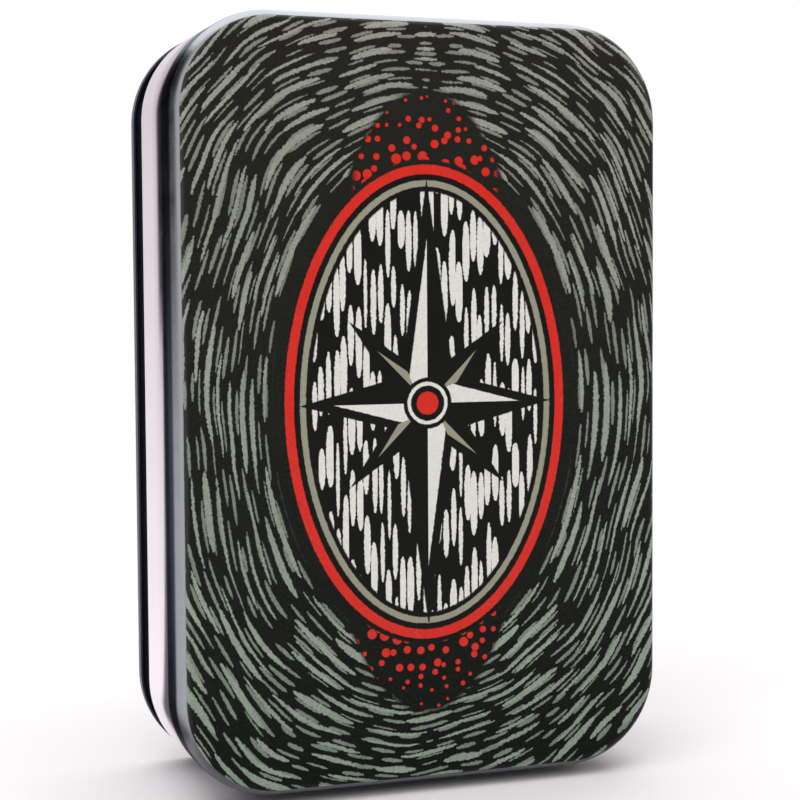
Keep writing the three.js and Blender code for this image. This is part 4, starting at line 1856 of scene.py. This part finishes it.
# %% [markdown]
# Varnish and tin are mirrors, so what they see matters more than the lamps. The world decides
# that by direction. Behind the tin everything is white. The room at the camera's side is dim,
# but for a bright window in front on the left, which draws the long grey highlight along the
# lid's rounded edge. Farther left the room is dark, which gives the dark line beside it. The
# camera itself sees plain white, and everything else gets a weak even light.

# %% The world
side_dimming = 0.97
ambient = 0.36


def make_world():
    world = bpy.data.worlds.new("studio")
    world.use_nodes = True
    net = Net(world.node_tree)
    ray = net.node("ShaderNodeLightPath").outputs
    direction = net.parts(net.node("ShaderNodeTexCoord").outputs["Generated"])
    leftward = net.times(direction["X"], -1.0)
    behind = net.scale(direction["Y"], -0.1, 0.45, 0.1, 1.0)
    window = net.times(net.step(leftward, 0.05, 0.2), net.step(direction["Y"], -0.42, -0.62))
    left = net.times(net.step(leftward, 0.5, 0.72), net.step(direction["Y"], -0.62, -0.42))
    room = net.without(net.most(behind, window), net.times(left, side_dimming))
    mirrored = net.times(ray["Is Glossy Ray"], room)
    seen = net.most(ray["Is Camera Ray"], ray["Is Transmission Ray"], mirrored)
    soft = net.without(ambient, net.most(seen, ray["Is Glossy Ray"]))
    background = world.node_tree.nodes["Background"]
    background.inputs["Color"].default_value = (1, 1, 1, 1)
    net.wire(net.add(seen, soft), background.inputs["Strength"])
    return world


bpy.context.scene.world = make_world()
bpy.context.scene.view_settings.view_transform = "Standard"
print("world:", len(bpy.context.scene.world.node_tree.nodes), "nodes")

# %% [markdown]
# The paper is matt near the tin, so it takes real shadows, and turns into plain white farther
# away, where it meets the backdrop without an edge. For mirror rays alone it is dark in front
# of the tin and to its left, as a black card there would make it, and stays white at the front
# left, where it carries the window's highlight down the lid's edge.

# %% White paper
fade_radius = 210
card_dimming = 0.93
glow_dimming = 0.95


def dark_card(net, spot):
    """Where a black card would lie: in front of the tin, and to its left."""
    x, y = spot["X"], spot["Y"]
    ahead = net.times(net.step(y, 10.0, -30.0), net.step(x, -75.0, -35.0))
    turned = net.add(net.times(x, 0.35), y)
    leftward = net.times(net.step(turned, -75.0, -40.0), net.step(x, -45.0, -60.0))
    steeper = net.add(net.times(x, 0.75), y)
    return net.most(ahead, net.times(leftward, net.step(steeper, 10.0, -20.0)))


def make_floor_white():
    material, net, shader, place = new_material("floor_white")
    shader.inputs["Roughness"].default_value = 0.7
    spot = net.parts(place)
    away = net.distance(net.over(spot["X"], fade_radius), net.over(spot["Y"], fade_radius))
    ray = net.node("ShaderNodeLightPath").outputs
    dimmed = net.times(dark_card(net, spot), ray["Is Glossy Ray"])
    white = net.mix(net.times(dimmed, card_dimming), paint(240, 236, 238), paint(20, 20, 24))
    net.wire(white, shader.inputs["Base Color"])
    glow = net.node("ShaderNodeEmission")
    glow.inputs["Color"].default_value = (1, 1, 1, 1)
    far = net.without(net.scale(away, 0.3, 1.1, 0.0, 1.0), net.times(dimmed, glow_dimming))
    seen = net.most(ray["Is Camera Ray"], ray["Is Glossy Ray"], ray["Is Transmission Ray"])
    surface = net.node("ShaderNodeMixShader")
    net.wire(net.times(seen, far), surface.inputs["Fac"])
    net.wire(shader.outputs[0], surface.inputs[1])
    net.wire(glow.outputs[0], surface.inputs[2])
    net.wire(surface.outputs[0], material.node_tree.nodes["Material Output"].inputs["Surface"])
    return material


floor_white = make_floor_white()
print("paper:", len(floor_white.node_tree.nodes), "nodes")

# %% [markdown]
# In the photograph the tin's front edge stands clear of the paper, and the dark band under it is
# the shadow in that gap. Here the paper makes the gap. It is flat behind the tin, so the tin
# touches it along its back, and dips evenly from there to some way in front of it. The shadow
# under the front edge is then a real one, in every pose.

# %% The floor
floor_reach = 4.0
paper_dip = 1.9 * mm
dip_end = tin_front - 70 * mm
dip_depth = -paper_dip * (tin_back - dip_end) / tin_depth
floor_rows = [(floor_reach, 0), (tin_back, 0), (dip_end, dip_depth), (-floor_reach, dip_depth)]
floor_points = [(side * floor_reach, y, z) for y, z in floor_rows for side in (-1, 1)]
floor_faces = [(row, row + 2, row + 3, row + 1) for row in (0, 2, 4)]
floor_mesh = bpy.data.meshes.new("floor")
floor_mesh.from_pydata(floor_points, [], floor_faces)
floor_mesh.materials.append(floor_white)
floor = linked("floor", floor_mesh)
print(f"the paper dips {paper_dip / mm} mm across the tin's depth")

# %% [markdown]

# %% The end
print("the end")
